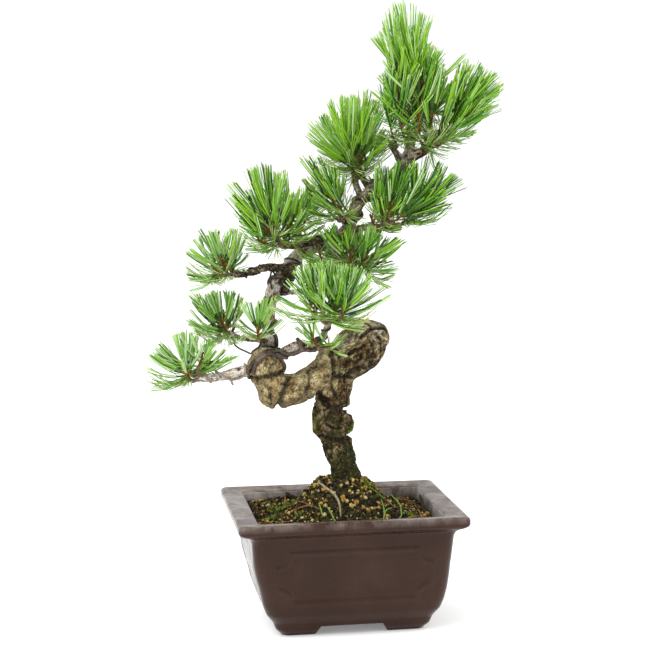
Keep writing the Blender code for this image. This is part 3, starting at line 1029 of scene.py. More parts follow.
    def build_thin(self) -> bpy.types.Object:
        """Makes the boughs.

        Returns:
            The piece.
        """
        gathered = Faces()
        extra, reach = self.swell
        for limb in self.thin:
            path = smooth_rows(limb.points, 0.55)
            away = np.linalg.norm(path[:, :3] - path[0, :3], axis=1)
            path[:, 3] *= 1.0 + extra * np.exp(-(away / reach) ** 2)
            gathered.add(*tube(path, 20))
        finish = BarkFinish("bough_bark", brown=srgb(86, 68, 50), tan=srgb(140, 124, 98),
                            light=srgb(212, 200, 176), flake=480.0, bleached_from=0.0)
        piece = gathered.piece("bark_boughs", [finish.material()], self.origin)
        self.raise_bark(piece, Limbs(list(self.thin), 0.8))
        return piece


@dataclass(frozen=True)
class Shoot:
    """The end of a twig with its needles.

    Attributes:
        base: Where the twig's last growth starts.
        head: The shoot's tip, from which the topmost needles go on.
        bundles: The number of needle bundles.
        reach: The needles' length, or None for the mass's own.
        old: The number of old, pale bundles at its foot.
        fan: The widest angle of its young needles, in degrees.
        fresh: What is added to the mass's share of fresh green needles.
    """

    base: Point
    head: Point
    bundles: int = 8
    reach: float | None = None
    old: int = 4
    fan: float = 56.0
    fresh: float = 0.0

    def ends(self) -> tuple[np.ndarray, np.ndarray]:
        """Gives the shoot's base and head as rows."""
        return np.array(self.base, float), np.array(self.head, float)


@dataclass(frozen=True)
class NeedleMass:
    """One mass of the crown: its shoots and what carries them.

    Attributes:
        node: The CAD node that it stands for.
        boughs: The limbs whose ends its twigs grow from.
        reach: The needles' length.
        shoots: The shoots that show in front.
        tips: Where the outermost bundles of those shoots end.
        arcs: Where old, pale bundles end that bend upwards from the shoots' feet.
        extra: The number of shoots that the seeded rule adds behind and beside them.
        lift: How strongly the needles bend upwards.
        wax: How much pale wax the needles show, from 0 to 0.8.
        fresh: The share of dark needles that are fresh green instead, below 0 for the other way round.
    """

    node: str
    boughs: tuple[str, ...]
    reach: float
    shoots: tuple[Shoot, ...] = ()
    tips: tuple[Point, ...] = ()
    arcs: tuple[Point, ...] = ()
    extra: int = 2
    lift: float = 0.55
    wax: float = 0.12
    fresh: float = 0.0


@dataclass(frozen=True)
class Tint:
    """How the shades are dealt to needles.

    Attributes:
        wax: How much pale wax the needles show, from 0 to 0.8.
        fresh: The share of dark needles that are fresh green instead, below 0 for the other way round.
    """

    wax: float
    fresh: float

    def shades(self, old: bool, rng: np.random.Generator) -> tuple[Shade, Shade, Shade, Shade]:
        """Deals the shades of one needle.

        Args:
            old: Whether it is one of last year's needles.
            rng: The source of the choice.

        Returns:
            The shades of its outer face, its inner faces, its tip and its foot; the foot's dark shades are
            painted shade inside the tuft.
        """
        if old:
            pale = 0.10 + 0.45 * self.wax
            outer = rng.choice([Shade.OLD, Shade.OLD_WAXY, Shade.MIDDLE], p=[0.68 - pale, pale, 0.32])
            inner = Shade.OLD_WAXY if rng.random() < 0.25 + self.wax else Shade.OLD
            return outer, inner, inner, Shade.OLD
        waxy = self.wax / 2
        fresh = 0.42 - waxy / 2 + self.fresh
        deep = max(0.25 - waxy / 2 - self.fresh, 0.0)
        outer = rng.choice([Shade.FRESH, Shade.MIDDLE, Shade.DEEP, Shade.WAXY],
                           p=[fresh, 1.0 - fresh - deep - waxy, deep, waxy])
        inner = Shade.WAXY if rng.random() < 1.4 * self.wax - 0.04 else outer
        # The feet are dealt dark shades as painted shade inside the tuft.
        foot = Shade.DEEP if rng.random() < 0.75 else Shade.OLD
        return outer, inner, Shade.TIP if rng.random() < 0.3 else outer, foot


@dataclass
class NeedleBed:
    """Needles gathered as rows, to be made in one go.

    Attributes:
        rows: Arrays of start, heading, bend, outward side, length, width and four shades, a row to a needle.
    """

    RINGS = (0.0, 0.22, 0.57, 0.95)
    WIDTHS = (0.60, 0.95, 1.0, 0.85)
    CREST, KEEL = 0.45, 0.75

    rows: list[np.ndarray] = field(default_factory=list)

    def add(self, start: np.ndarray, heading: np.ndarray, bend: np.ndarray, outward: np.ndarray,
            length: float, width: float, shades: tuple[Shade, Shade, Shade, Shade]) -> None:
        """Adds one needle.

        Args:
            start: The needle's foot.
            heading: Its first direction.
            bend: What is added to that direction over its whole length.
            outward: The side that its broad green face looks to.
            length: Its length.
            width: Its width.
            shades: The shades of its outer face, its inner faces, its tip and its foot.
        """
        numbers = (shade.value for shade in shades)
        self.rows.append(np.array([*start, *heading, *bend, *outward, length, width, *numbers]))

    def fill(self, gathered: Faces) -> None:
        """Makes all needles' corners and faces.

        Args:
            gathered: What they are added to.
        """
        rows = np.array(self.rows)
        start, heading, bend, outward = rows[:, 0:3], rows[:, 3:6], rows[:, 6:9], rows[:, 9:12]
        length, width = rows[:, 12:13], rows[:, 13:14]
        outer, inner, tip, foot = rows[:, 14:18].astype(int).T
        place, last, rings = start.copy(), 0.0, []
        for at, wide in zip((*self.RINGS, 1.0), (*self.WIDTHS, 0.0)):
            way = unit(heading + bend * (at + last) / 2)
            place = place + way * length * (at - last)
            last = at
            if not wide:
                rings.append(place)
                continue
            ahead = unit(heading + bend * at)
            out = unit(outward - ahead * (outward * ahead).sum(1, keepdims=True))
            side = np.cross(ahead, out)
            half = width * wide / 2
            rings.append(place + side * half + out * half * self.CREST)
            rings.append(place - side * half + out * half * self.CREST)
            rings.append(place - out * half * self.KEEL)
        corners = np.stack(rings, 1).reshape(-1, 3)
        each = len(rings)
        first = np.arange(len(rows))[:, None] * each
        spans = len(self.RINGS) - 1
        quads, tips, finish = [], [], []
        for span in range(spans + 1):
            for face in range(3):
                a, b = span * 3 + face, span * 3 + (face + 1) % 3
                if span == spans:
                    tips.append(first + np.array([a, b, each - 1]))
                    continue
                quads.append(first + np.array([a, b, b + 3, a + 3]))
                # The first span takes the foot's shade, painted shade inside the tuft.
                finish.append(foot if span == 0 else outer if face == 0 else inner)
        gathered.add(corners, np.vstack(quads), np.vstack(tips),
                     finish=[np.concatenate(finish), np.concatenate([tip] * len(tips))])


class Branching:
    """Twigs that grow from the ends of boughs to the feet of shoots by a seeded rule."""

    THICKEST, END = 1.9, 1.25
    TURN_COST = 7.0
    SHORTEST = 0.8

    def __init__(self, bough_paths: list[np.ndarray], rng: np.random.Generator) -> None:
        """Starts with the last stretch of each bough as the wood that twigs may leave from.

        Args:
            bough_paths: Rows of x, y, z and radius along each bough.
            rng: The source of the twigs' small bends.
        """
        self.rng = rng
        self.places, self.headings, self.radii = [], [], []
        self.twigs: list[np.ndarray] = []
        for path in bough_paths:
            heading = frames(path)[0]
            tail = max(3, len(path) // 3)
            self.places += list(path[-tail:, :3])
            self.headings += list(heading[-tail:])
            self.radii += list(path[-tail:, 3])

    def grow(self, base: np.ndarray, way: np.ndarray) -> None:
        """Grows one twig to a shoot's foot, from the wood that is near and heads there.

        Args:
            base: The shoot's foot.
            way: The shoot's direction there.
        """
        gap = base - np.array(self.places)
        away = np.linalg.norm(gap, axis=1)
        ahead = (unit(gap) * np.array(self.headings)).sum(1)
        start = int(np.argmin(away + self.TURN_COST * (1.0 - ahead)))
        origin, heading, radius = self.places[start], self.headings[start], self.radii[start]
        span = away[start]
        if span < self.SHORTEST:
            return
        pull = span * 0.42
        wobble = self.rng.normal(0.0, 0.05 * span, (2, 3))
        lean = unit(heading + unit(gap[start]) * 0.9)
        t = np.linspace(0.0, 1.0, max(5, int(span / 1.1)))[:, None]
        a, b, c, d = origin, origin + lean * pull + wobble[0], base - way * pull + wobble[1], base
        line = (1 - t) ** 3 * a + 3 * (1 - t) ** 2 * t * b + 3 * (1 - t) * t ** 2 * c + t ** 3 * d
        thick = min(radius * 0.85, self.THICKEST)
        radii = thick + (self.END - thick) * t[:, 0] ** 0.7
        self.twigs.append(np.c_[line, radii])
        keep = range(2, len(line), 2)
        self.places += [line[i] for i in keep]
        self.headings += [unit(line[min(i + 1, len(line) - 1)] - line[i - 1]) for i in keep]
        self.radii += [radii[i] for i in keep]

    def knobbly(self, path: np.ndarray) -> np.ndarray:
        """Gives a twig the swellings of its old leaf scars."""
        rough = path.copy()
        waves = np.sin(np.arange(len(path)) * 2.1 + self.rng.uniform(0, 6))
        rough[:, 3] *= 1.0 + 0.10 * waves + self.rng.normal(0.0, 0.04, len(path))
        return rough


@dataclass(frozen=True)
class NeedleRules:
    """The measures that all needles share.

    Attributes:
        width: The width of a young needle.
        old_width: The width of an old one.
        per_bundle: The number of needles in a whole bundle.
        splay: How far the needles of a bundle part over their length.
        old_splay: How many times as far those of an old bundle part.
        curl: How unevenly young needles bend.
        old_curl: How unevenly old ones bend.
        dry: The share of old bundles that are dry and brown.
        fullness: The shoots' bundles are taken this many times.
        arch: How strongly the old needles bend upwards, as a multiple of the mass's own lift.
        overgrowth: How far needles may pass a mass's own space, as a share of its half width.
        squareness: How square that space is; 2 is an ellipsoid.
        stunted: Bundles that get shorter than this share of their length are left out.
        foot: How far a bundle's needles start beyond the stem, inside its sheath.
        bare: The share of a stem, from its base, that has only old needles.
    """

    width: float = 0.8
    old_width: float = 0.6
    per_bundle: int = 5
    splay: float = 0.038
    old_splay: float = 2.6
    curl: float = 0.07
    old_curl: float = 0.10
    dry: float = 0.02
    fullness: float = 1.6
    arch: float = 1.3
    overgrowth: float = 0.04
    squareness: float = 2.6
    stunted: float = 0.66
    foot: float = 2.0
    bare: float = 0.36


@dataclass
class Bundle:
    """The needles that leave one point.

    Attributes:
        start: Their foot.
        way: Their direction.
        bend: What is added to that direction over their length.
        length: Their length.
        count: How many they are.
        old: Whether they are last year's.
    """

    start: np.ndarray
    way: np.ndarray
    bend: np.ndarray
    length: float
    count: int = 5
    old: bool = False


@dataclass(frozen=True)
class Stem:
    """A shoot's woody stem.

    Attributes:
        line: Its middle line.
        ahead: Its heading at each row.
        side: One side direction at each row.
        other: The other side direction.
    """

    line: np.ndarray
    ahead: np.ndarray
    side: np.ndarray
    other: np.ndarray

    def out(self, row: int, turn: float) -> np.ndarray:
        """Gives the direction away from the stem at a row and a turn."""
        return turned(turn, self.side[row], self.other[row])


@dataclass
class Foliage(Part):
    """One mass of the crown while it grows.

    Attributes:
        mass: The mass.
        rules: The measures that all needles share.
        seen: The camera's two directions across and up the picture.
        gaps: Rows of x, z and radius, seen from the camera, where no needle ends.
        stems: What the stems, sheaths and scales are added to.
        rng: The source of every random draw in the mass.
        bed: The mass's needles.
    """

    STEM, SHEATH, SCALE = range(3)
    STEM_ROWS = 24
    SCALES = 26
    GAP_DEPTH = -10.0

    mass: NeedleMass
    rules: NeedleRules
    seen: np.ndarray
    gaps: tuple[Point, ...]
    stems: Faces
    rng: np.random.Generator
    bed: NeedleBed = field(default_factory=NeedleBed)

    def __post_init__(self) -> None:
        """Looks up the mass's own space, its outline, and the gaps as the camera sees them."""
        low, high = (np.array(corner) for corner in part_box(self.mass.node))
        self.middle = ((low + high) / 2 - self.origin) / MM
        self.half = (high - low) / 2 / MM
        self.edges = self.outline()
        gaps = np.array(self.gaps)
        self.spots = np.c_[gaps[:, 0], np.full(len(gaps), self.GAP_DEPTH), gaps[:, 1]] @ self.seen.T
        self.clear = gaps[:, 2]

    def extra_shoots(self) -> list[Shoot]:
        """Adds shoots inside the mass's own space, spread over its back and sides.

        Returns:
            The shoots.
        """
        mass, rng = self.mass, self.rng
        made = []
        for number in range(mass.extra):
            turn = number * GOLDEN_TURN + rng.uniform(0.0, 0.8)
            if mass.shoots:
                turn = math.pi * (0.08 + 0.84 * (number + rng.uniform(0.2, 0.8)) / mass.extra)
            way = np.array([math.cos(turn), math.sin(turn), 0.0])
            base = self.middle + way * self.half * rng.uniform(0.12, 0.30) - UP * self.half * 0.45
            head = base + unit(way + UP * rng.uniform(0.5, 1.3)) * rng.uniform(11.0, 15.0)
            made.append(Shoot(tuple(base), tuple(head), bundles=11, reach=mass.reach * 0.92))
        return made

    def outline(self) -> np.ndarray:
        """Gives the edges round the mass's listed places, as the camera sees them.

        Returns:
            A row to an edge: its outward side, across and up the picture, and how far out it lies.
        """
        mass = self.mass
        if not mass.tips:
            return np.empty((0, 3))
        bases = (shoot.base for shoot in mass.shoots)
        heads = (shoot.head for shoot in mass.shoots)
        flat = np.array([*mass.tips, *mass.arcs, *bases, *heads], float) @ self.seen.T
        ring = flat[convex_hull_2d([Vector(row) for row in flat])]
        edge = unit(np.roll(ring, -1, axis=0) - ring)
        out = np.stack([edge[:, 1], -edge[:, 0]], -1)
        out *= np.sign((out * (ring - flat.mean(0))).sum(1, keepdims=True))
        return np.c_[out, (out * ring).sum(1)]

    def fits(self, bundle: Bundle, limit: float, slack: float) -> bool:
        """Tells whether a bundle ends where it may.

        Args:
            bundle: The bundle.
            limit: How far it may reach in the mass's own space, of which 1 is the edge.
            slack: How far it may pass the mass's outline.

        Returns:
            Whether it stays inside both and ends in no gap.
        """
        end = bundle.start + unit(bundle.way + bundle.bend / 2) * bundle.length
        seen = self.seen @ end
        nearer = self.seen @ (bundle.start + (end - bundle.start) * 0.84)
        past = (self.edges[:, :2] @ seen - self.edges[:, 2]).max(initial=-1e3)
        in_gap = any((np.linalg.norm(self.spots - spot, axis=1) < self.clear).any()
                     for spot in (seen, nearer))
        power = self.rules.squareness
        inside = np.sum(np.abs((end - self.middle) / self.half) ** power) ** (1 / power) <= limit
        return bool(inside and past <= slack and not in_gap)

    def shorten(self, bundle: Bundle) -> None:
        """Shortens a bundle that would leave its mass's own space or outline, to an uneven edge."""
        limit = 1.0 + self.rules.overgrowth + self.rng.normal(0.0, 0.04)
        slack = self.rng.uniform(-3.0, 0.8)
        for _ in range(12):
            if self.fits(bundle, limit, slack):
                break
            bundle.length *= 0.95

    def add_needles(self, bundle: Bundle, tint: Tint) -> None:
        """Adds the needles of one bundle, which leave one point and part a little.

        Args:
            bundle: The bundle.
            tint: How the needles' shades are dealt.
        """
        rules, rng, old = self.rules, self.rng, bundle.old
        side = unit(np.cross(bundle.way, UP + 0.01))
        other = np.cross(bundle.way, side)
        first = rng.uniform(0.0, 2 * math.pi)
        dry = old and rng.random() < rules.dry
        for number in range(bundle.count):
            out = turned(first + number * 2 * math.pi / rules.per_bundle, side, other)
            wide = rules.old_splay if old else 1.0
            apart = unit(bundle.way + out * wide * rules.splay * rng.uniform(0.5, 1.5))
            curl = bundle.bend + out * rng.normal(0.0, rules.old_curl if old else rules.curl)
            shades = (Shade.DRY,) * 4 if dry else tint.shades(old, rng)
            length = bundle.length * rng.uniform(0.94, 1.02)
            width = rules.old_width if old else rules.width * rng.uniform(0.9, 1.1)
            self.bed.add(bundle.start + out * 0.30, apart, curl, out, length, width, shades)

    def upward(self, ahead: np.ndarray) -> np.ndarray:
        """Gives the bend of needles on a stem that heads ahead, mostly upwards."""
        return (UP * 0.65 + ahead * 0.35) * self.mass.lift

    def best_start(self, goal: np.ndarray) -> tuple[float, float, np.ndarray, np.ndarray]:
        """Finds the place on a shoot that suits a tip best.

        Args:
            goal: Where the needles are to end.

        Returns:
            The distance to the tip, its angle from the shoot, the place and the shoot's direction.
        """
        found = []
        for shoot in self.mass.shoots:
            base, head = shoot.ends()
            axis = unit(head - base)
            for part in np.linspace(0.30, 1.0, 8):
                start = base + (head - base) * part
                gap = goal - start
                long = float(np.linalg.norm(gap))
                tilt = math.acos(float(np.clip(gap @ axis / long, -1.0, 1.0)))
                wanted = 1.25 * (1.05 - part)
                fault = abs(long - self.mass.reach) / 12.0 + abs(tilt - wanted)
                found.append((fault, long, tilt, start, axis))
        return min(found, key=lambda row: row[0])[1:]

    def reach_tips(self) -> None:
        """Grows the mass's outermost bundles, and the old ones that hang in arcs, to their listed ends."""
        mass, rules, rng = self.mass, self.rules, self.rng
        tint = Tint(mass.wax, mass.fresh)
        for tip in mass.tips:
            goal = np.array(tip, float) + (0.0, rng.normal(0.0, 2.5), 0.0)
            long, tilt, start, axis = self.best_start(goal)
            bend = self.upward(axis) * min(1.0, math.sin(tilt) + 0.1)
            way = unit(unit(goal - start) - bend / 2)
            self.add_sheath(start, way)
            self.add_needles(Bundle(start + way * rules.foot, way, bend, long - 1.0), tint)
        for arc in mass.arcs:
            goal = np.array(arc, float) + (0.0, rng.normal(0.0, 2.0), 0.0)
            shoot = min(mass.shoots, key=lambda s: float(np.linalg.norm(goal - s.base)))
            base, head = shoot.ends()
            start = base + (head - base) * rng.uniform(0.05, 0.3)
            bend = UP * (0.35 + rules.arch * mass.lift * rng.uniform(0.8, 1.2))
            way = unit(unit(goal - start) - bend / 2)
            long = float(np.linalg.norm(goal - start)) * (1.0 + 0.04 * float(bend @ bend))
            count = int(rng.integers(2, rules.per_bundle))
            self.add_needles(Bundle(start, way, bend, long, count, old=True), tint)

    def add_stem(self, shoot: Shoot) -> Stem:
        """Adds a shoot's slightly bowed stem with its bud scales.

        Args:
            shoot: The shoot.

        Returns:
            The stem.
        """
        base, head = shoot.ends()
        axis = unit(head - base)
        span = float(np.linalg.norm(head - base))
        bow = unit(np.cross(np.cross(axis, UP), axis)) * -0.06 * span
        t = np.linspace(0.0, 1.0, self.STEM_ROWS)[:, None]
        line = base + (head - base) * t + bow * 4 * t * (1 - t)
        radii = 0.95 - 0.55 * t[:, 0] + 0.08 * np.sin(t[:, 0] * 60.0)
        path = np.c_[line, radii]
        self.stems.add(*tube(path, 8), finish=self.STEM)
        stem = Stem(line, *frames(path))
        self.add_scales(stem)
        return stem

    def dress(self, shoot: Shoot) -> None:
        """Gives a shoot its stem, its young needles and the old ones at its foot."""
        mass, rules, rng = self.mass, self.rules, self.rng
        stem = self.add_stem(shoot)
        last = self.STEM_ROWS - 1
        reach = shoot.reach or mass.reach
        tint = Tint(mass.wax, mass.fresh + shoot.fresh)
        bundles = round(shoot.bundles * rules.fullness)
        for number in range(bundles):
            part = (number + rng.uniform(0.1, 0.9)) / bundles
            row = min(int((rules.bare + (1.0 - rules.bare) * part) * last), last)
            out = stem.out(row, number * GOLDEN_TURN + rng.normal(0.0, 0.3))
            tilt = math.radians(shoot.fan * (1.0 - part) ** 0.7 + 6.0 + rng.normal(0.0, 6.0))
            way = unit(turned(tilt, stem.ahead[row], out))
            bend = self.upward(stem.ahead[row]) * math.sin(tilt) + rng.normal(0.0, 0.05, 3)
            start = stem.line[row] + out * 0.7
            wanted = reach * (1.0 - 0.10 * (1 - part)) * rng.uniform(0.84, 1.06)
            bundle = Bundle(start, way, bend, wanted)
            self.shorten(bundle)
            if bundle.length < rules.stunted * wanted:
                continue
            self.add_sheath(start, way)
            bundle.start = start + way * rules.foot
            self.add_needles(bundle, tint)
        for number in range(shoot.old):
            row = int(rng.uniform(0.0, rules.bare) * last)
            out = stem.out(row, number * GOLDEN_TURN * 1.7 + rng.uniform(0.0, 1.0))
            tilt = math.radians(rng.uniform(58.0, 100.0))
            way = unit(turned(tilt, stem.ahead[row], out))
            bend = UP * rng.uniform(0.0, 1.0) + rng.normal(0.0, 0.15, 3)
            bundle = Bundle(stem.line[row], way, bend, reach * rng.uniform(0.45, 0.95), old=True)
            self.shorten(bundle)
            bundle.start = stem.line[row] + out * 0.8
            bundle.count = int(rng.integers(2, rules.per_bundle))
            self.add_needles(bundle, tint)

    def add_sheath(self, start: np.ndarray, way: np.ndarray) -> None:
        """Adds the brown papery sheath round a bundle's foot.

        Args:
            start: Where the bundle leaves the stem.
            way: The bundle's direction.
        """
        thin, thick, widest = 0.4, 0.62, 0.4
        long = self.rng.uniform(2.6, 4.6)
        middle, end = start + way * long * widest, start + way * long
        path = np.array([[*start, thin], [*middle, thick], [*end, thin]])
        self.stems.add(*tube(path, 4, round_end=False), finish=self.SHEATH)

    def add_scales(self, stem: Stem) -> None:
        """Adds pointed bud scales along a stem."""
        half_width, lift = 0.55, 0.6
        for number in range(self.SCALES):
            row = int(self.rng.uniform(0.0, 1.0) * (self.STEM_ROWS - 1))
            out, ahead = stem.out(row, number * GOLDEN_TURN), stem.ahead[row]
            across = np.cross(ahead, out)
            foot = stem.line[row] + out * lift
            tip = foot + ahead * self.rng.uniform(1.6, 2.5) + out * self.rng.uniform(0.2, 0.6)
            sides = foot + across * half_width, foot - across * half_width
            corners = np.array([*sides, tip, foot - out * 0.4 + ahead])
            self.stems.add(corners, np.array([[0, 1, 2], [1, 3, 2], [3, 0, 2], [1, 0, 3]]), finish=self.SCALE)


@dataclass
class Crown(Part):
    """The twigs, shoots and needles of all masses.

    Attributes:
        masses: The masses, front and back.
        storeys: Names of the needle pieces, and the masses that each one joins.
        limbs: The boughs and the leader by name.
        seen: The camera's two directions across and up the picture.
        gaps: Rows of x, z and radius, seen from the camera, where no needle ends.
        rules: The measures that all needles share.
        seed: The seed of every random draw in the crown.
        twigs: The twigs' faces.
        stems: The faces of the stems, sheaths and scales.
    """

    masses: tuple[NeedleMass, ...]
    storeys: dict[str, tuple[str, ...]]
    limbs: dict[str, Limb]
    seen: np.ndarray
    gaps: tuple[Point, ...]
    rules: NeedleRules = NeedleRules()
    seed: int = 9
    twigs: Faces = field(default_factory=Faces)
    stems: Faces = field(default_factory=Faces)

    def grow(self, number: int, mass: NeedleMass) -> NeedleBed:
        """Grows one mass from the ends of its boughs.

        Args:
            number: The mass's number, for its own seed.
            mass: The mass.

        Returns:
            Its needles.
        """
        rng = np.random.default_rng(self.seed * 100 + number)
        foliage = Foliage(self.origin, mass, self.rules, self.seen, self.gaps, self.stems, rng)
        shoots = [*mass.shoots, *foliage.extra_shoots()]
        paths = [smooth_rows(self.limbs[name].points, 1.0) for name in mass.boughs]
        wood = Branching(paths, rng)
        near = paths[0][-1, :3]
        for shoot in sorted(shoots, key=lambda s: float(np.linalg.norm(np.array(s.base) - near))):
            base, head = shoot.ends()
            wood.grow(base, unit(head - base))
            foliage.dress(shoot)
        foliage.reach_tips()
        for path in wood.twigs:
            self.twigs.add(*tube(wood.knobbly(path), 9))
        return foliage.bed

    def build(self) -> None:
        """Makes the pieces of the needles, the twigs and the stems."""
        beds = {mass.node: self.grow(number, mass) for number, mass in enumerate(self.masses)}
        shades = materials(Shade)
        for name, nodes in self.storeys.items():
            gathered = Faces()
            for node in nodes:
                beds[node].fill(gathered)
            piece = gathered.piece(name, shades, self.origin, smooth=False)
            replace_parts(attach(piece, BODY), *nodes)
            LOG.info("%s: %d triangles", name, gathered.triangles())
        stem_finishes = materials((
            PlainFinish("stem_brown", srgb(86, 68, 36), 0.7),
            PlainFinish("sheath_brown", srgb(142, 110, 42), 0.6),
            PlainFinish("scale_brown", srgb(96, 68, 30), 0.65),
        ))
        for name, gathered, finishes in (("twigs", self.twigs, materials((TwigFinish(),))),
                                         ("shoot_stems", self.stems, stem_finishes)):
            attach(gathered.piece(name, finishes, self.origin), BODY)
            LOG.info("%s: %d triangles", name, gathered.triangles())


@dataclass(frozen=True)
class TwigFinish:
    """Thin grey-brown twig bark with fine rings.

    Attributes:
        dark: The hollows.
        brown: The main colour.
        pale: The flaking spots.
    """

    dark: Colour = srgb(52, 40, 28)
    brown: Colour = srgb(104, 86, 62)
    pale: Colour = srgb(158, 142, 116)

    def material(self) -> bpy.types.Material:
        """Makes the twigs' material."""
        n = Nodes("twig_bark", Roughness=0.85)
        n.colour(n.ramp(n.cloud(520.0, detail=6.0, roughness=0.7),
                        (0.36, self.dark), (0.52, self.brown), (0.70, self.pale)))
        n.bump(n.cloud(800.0, detail=5.0, roughness=0.7), strength=0.6, distance=0.0006)
        return n.material


class Wood:
    """The finished bark, for laying wires on it."""

    def __init__(self, pieces: list[bpy.types.Object], origin: np.ndarray) -> None:
        """Reads the bark's pieces.

        Args:
            pieces: The bark's objects.
            origin: The place of the pot's foot in the frame, in metres.
        """
        self.origin = origin
        self.trees = []
        for piece in pieces:
            rows = (corner_rows(piece.data) - origin) / MM
            faces = [tuple(face.vertices) for face in piece.data.polygons]
            self.trees.append(BVHTree.FromPolygons(rows.tolist(), faces))

    def lay(self, path: np.ndarray, radius: float, reach: float) -> np.ndarray:
        """Moves the rows of a path that are near the bark onto it.

        Args:
            path: Rows of places in millimetres.
            radius: How far the path stays off the bark.
            reach: How far from the bark a row may be to be moved.

        Returns:
            The path after.
        """
        laid = path.copy()
        for i, row in enumerate(path):
            found = [tree.find_nearest(Vector(row)) for tree in self.trees]
            place, normal, _, away = min(found, key=lambda hit: hit[3])
            inside = (Vector(row) - place).dot(normal) < 0
            if inside or away < reach:
                pull = 1.0 if inside else float(smooth_step(reach, reach * 0.6, np.array(away)))
                laid[i] = row + (np.array(place + normal * radius) - row) * pull
        for _ in range(2):
            laid[1:-1] = 0.25 * laid[:-2] + 0.5 * laid[1:-1] + 0.25 * laid[2:]
        return laid


@dataclass(frozen=True)
class Wire:
    """A training wire along listed places.

    Attributes:
        name: The piece's name.
        radius: The wire's radius.
        runs: The places that each length of it passes.
        coils: Limbs that it winds round: the limb's name, the parts of it from and to, the turns and the
            angle that they start at, in degrees.
    """

    name: str
    radius: float
    runs: tuple[tuple[Point, ...], ...]
    coils: tuple[tuple[str, float, float, float, float], ...] = ()

    def coil(self, limb: Limb, start: float, end: float, turns: float, first: float) -> np.ndarray:
        """Winds the wire round a limb.

        Args:
            limb: The limb.
            start: The part of its length where the coil starts.
            end: The part where it ends.
            turns: The number of turns.
            first: The angle that it starts at, in degrees.

        Returns:
            The coil's middle line.
        """
        path = smooth_rows(limb.points, 0.5)
        _, side, other = frames(path)
        t = np.linspace(start, end, int(abs(turns) * 30))
        rows = (t * (len(path) - 1)).astype(int)
        angle = math.radians(first) + np.linspace(0.0, turns * 2 * math.pi, len(t))
        out = np.cos(angle)[:, None] * side[rows] + np.sin(angle)[:, None] * other[rows]
        return path[rows, :3] + out * (path[rows, 3:] + self.radius * 0.8)

    def build(self, finish: WireFinish, wood: Wood, limbs: dict[str, Limb]) -> bpy.types.Object:
        """Makes the wire's piece.

        Args:
            finish: Its finish.
            wood: The bark that it rests on.
            limbs: The limbs by name.

        Returns:
            The piece.
        """
        gathered = Faces()
        lines = [smooth_rows(run, 0.7) for run in self.runs]
        lines += [self.coil(limbs[name], *rest) for name, *rest in self.coils]
        for line in lines:
            path = wood.lay(line, self.radius * 0.85, reach=6.0)
            gathered.add(*tube(np.c_[path, np.full(len(path), self.radius)], 12, round_start=True))
        return gathered.piece(self.name, materials((finish,)), wood.origin)


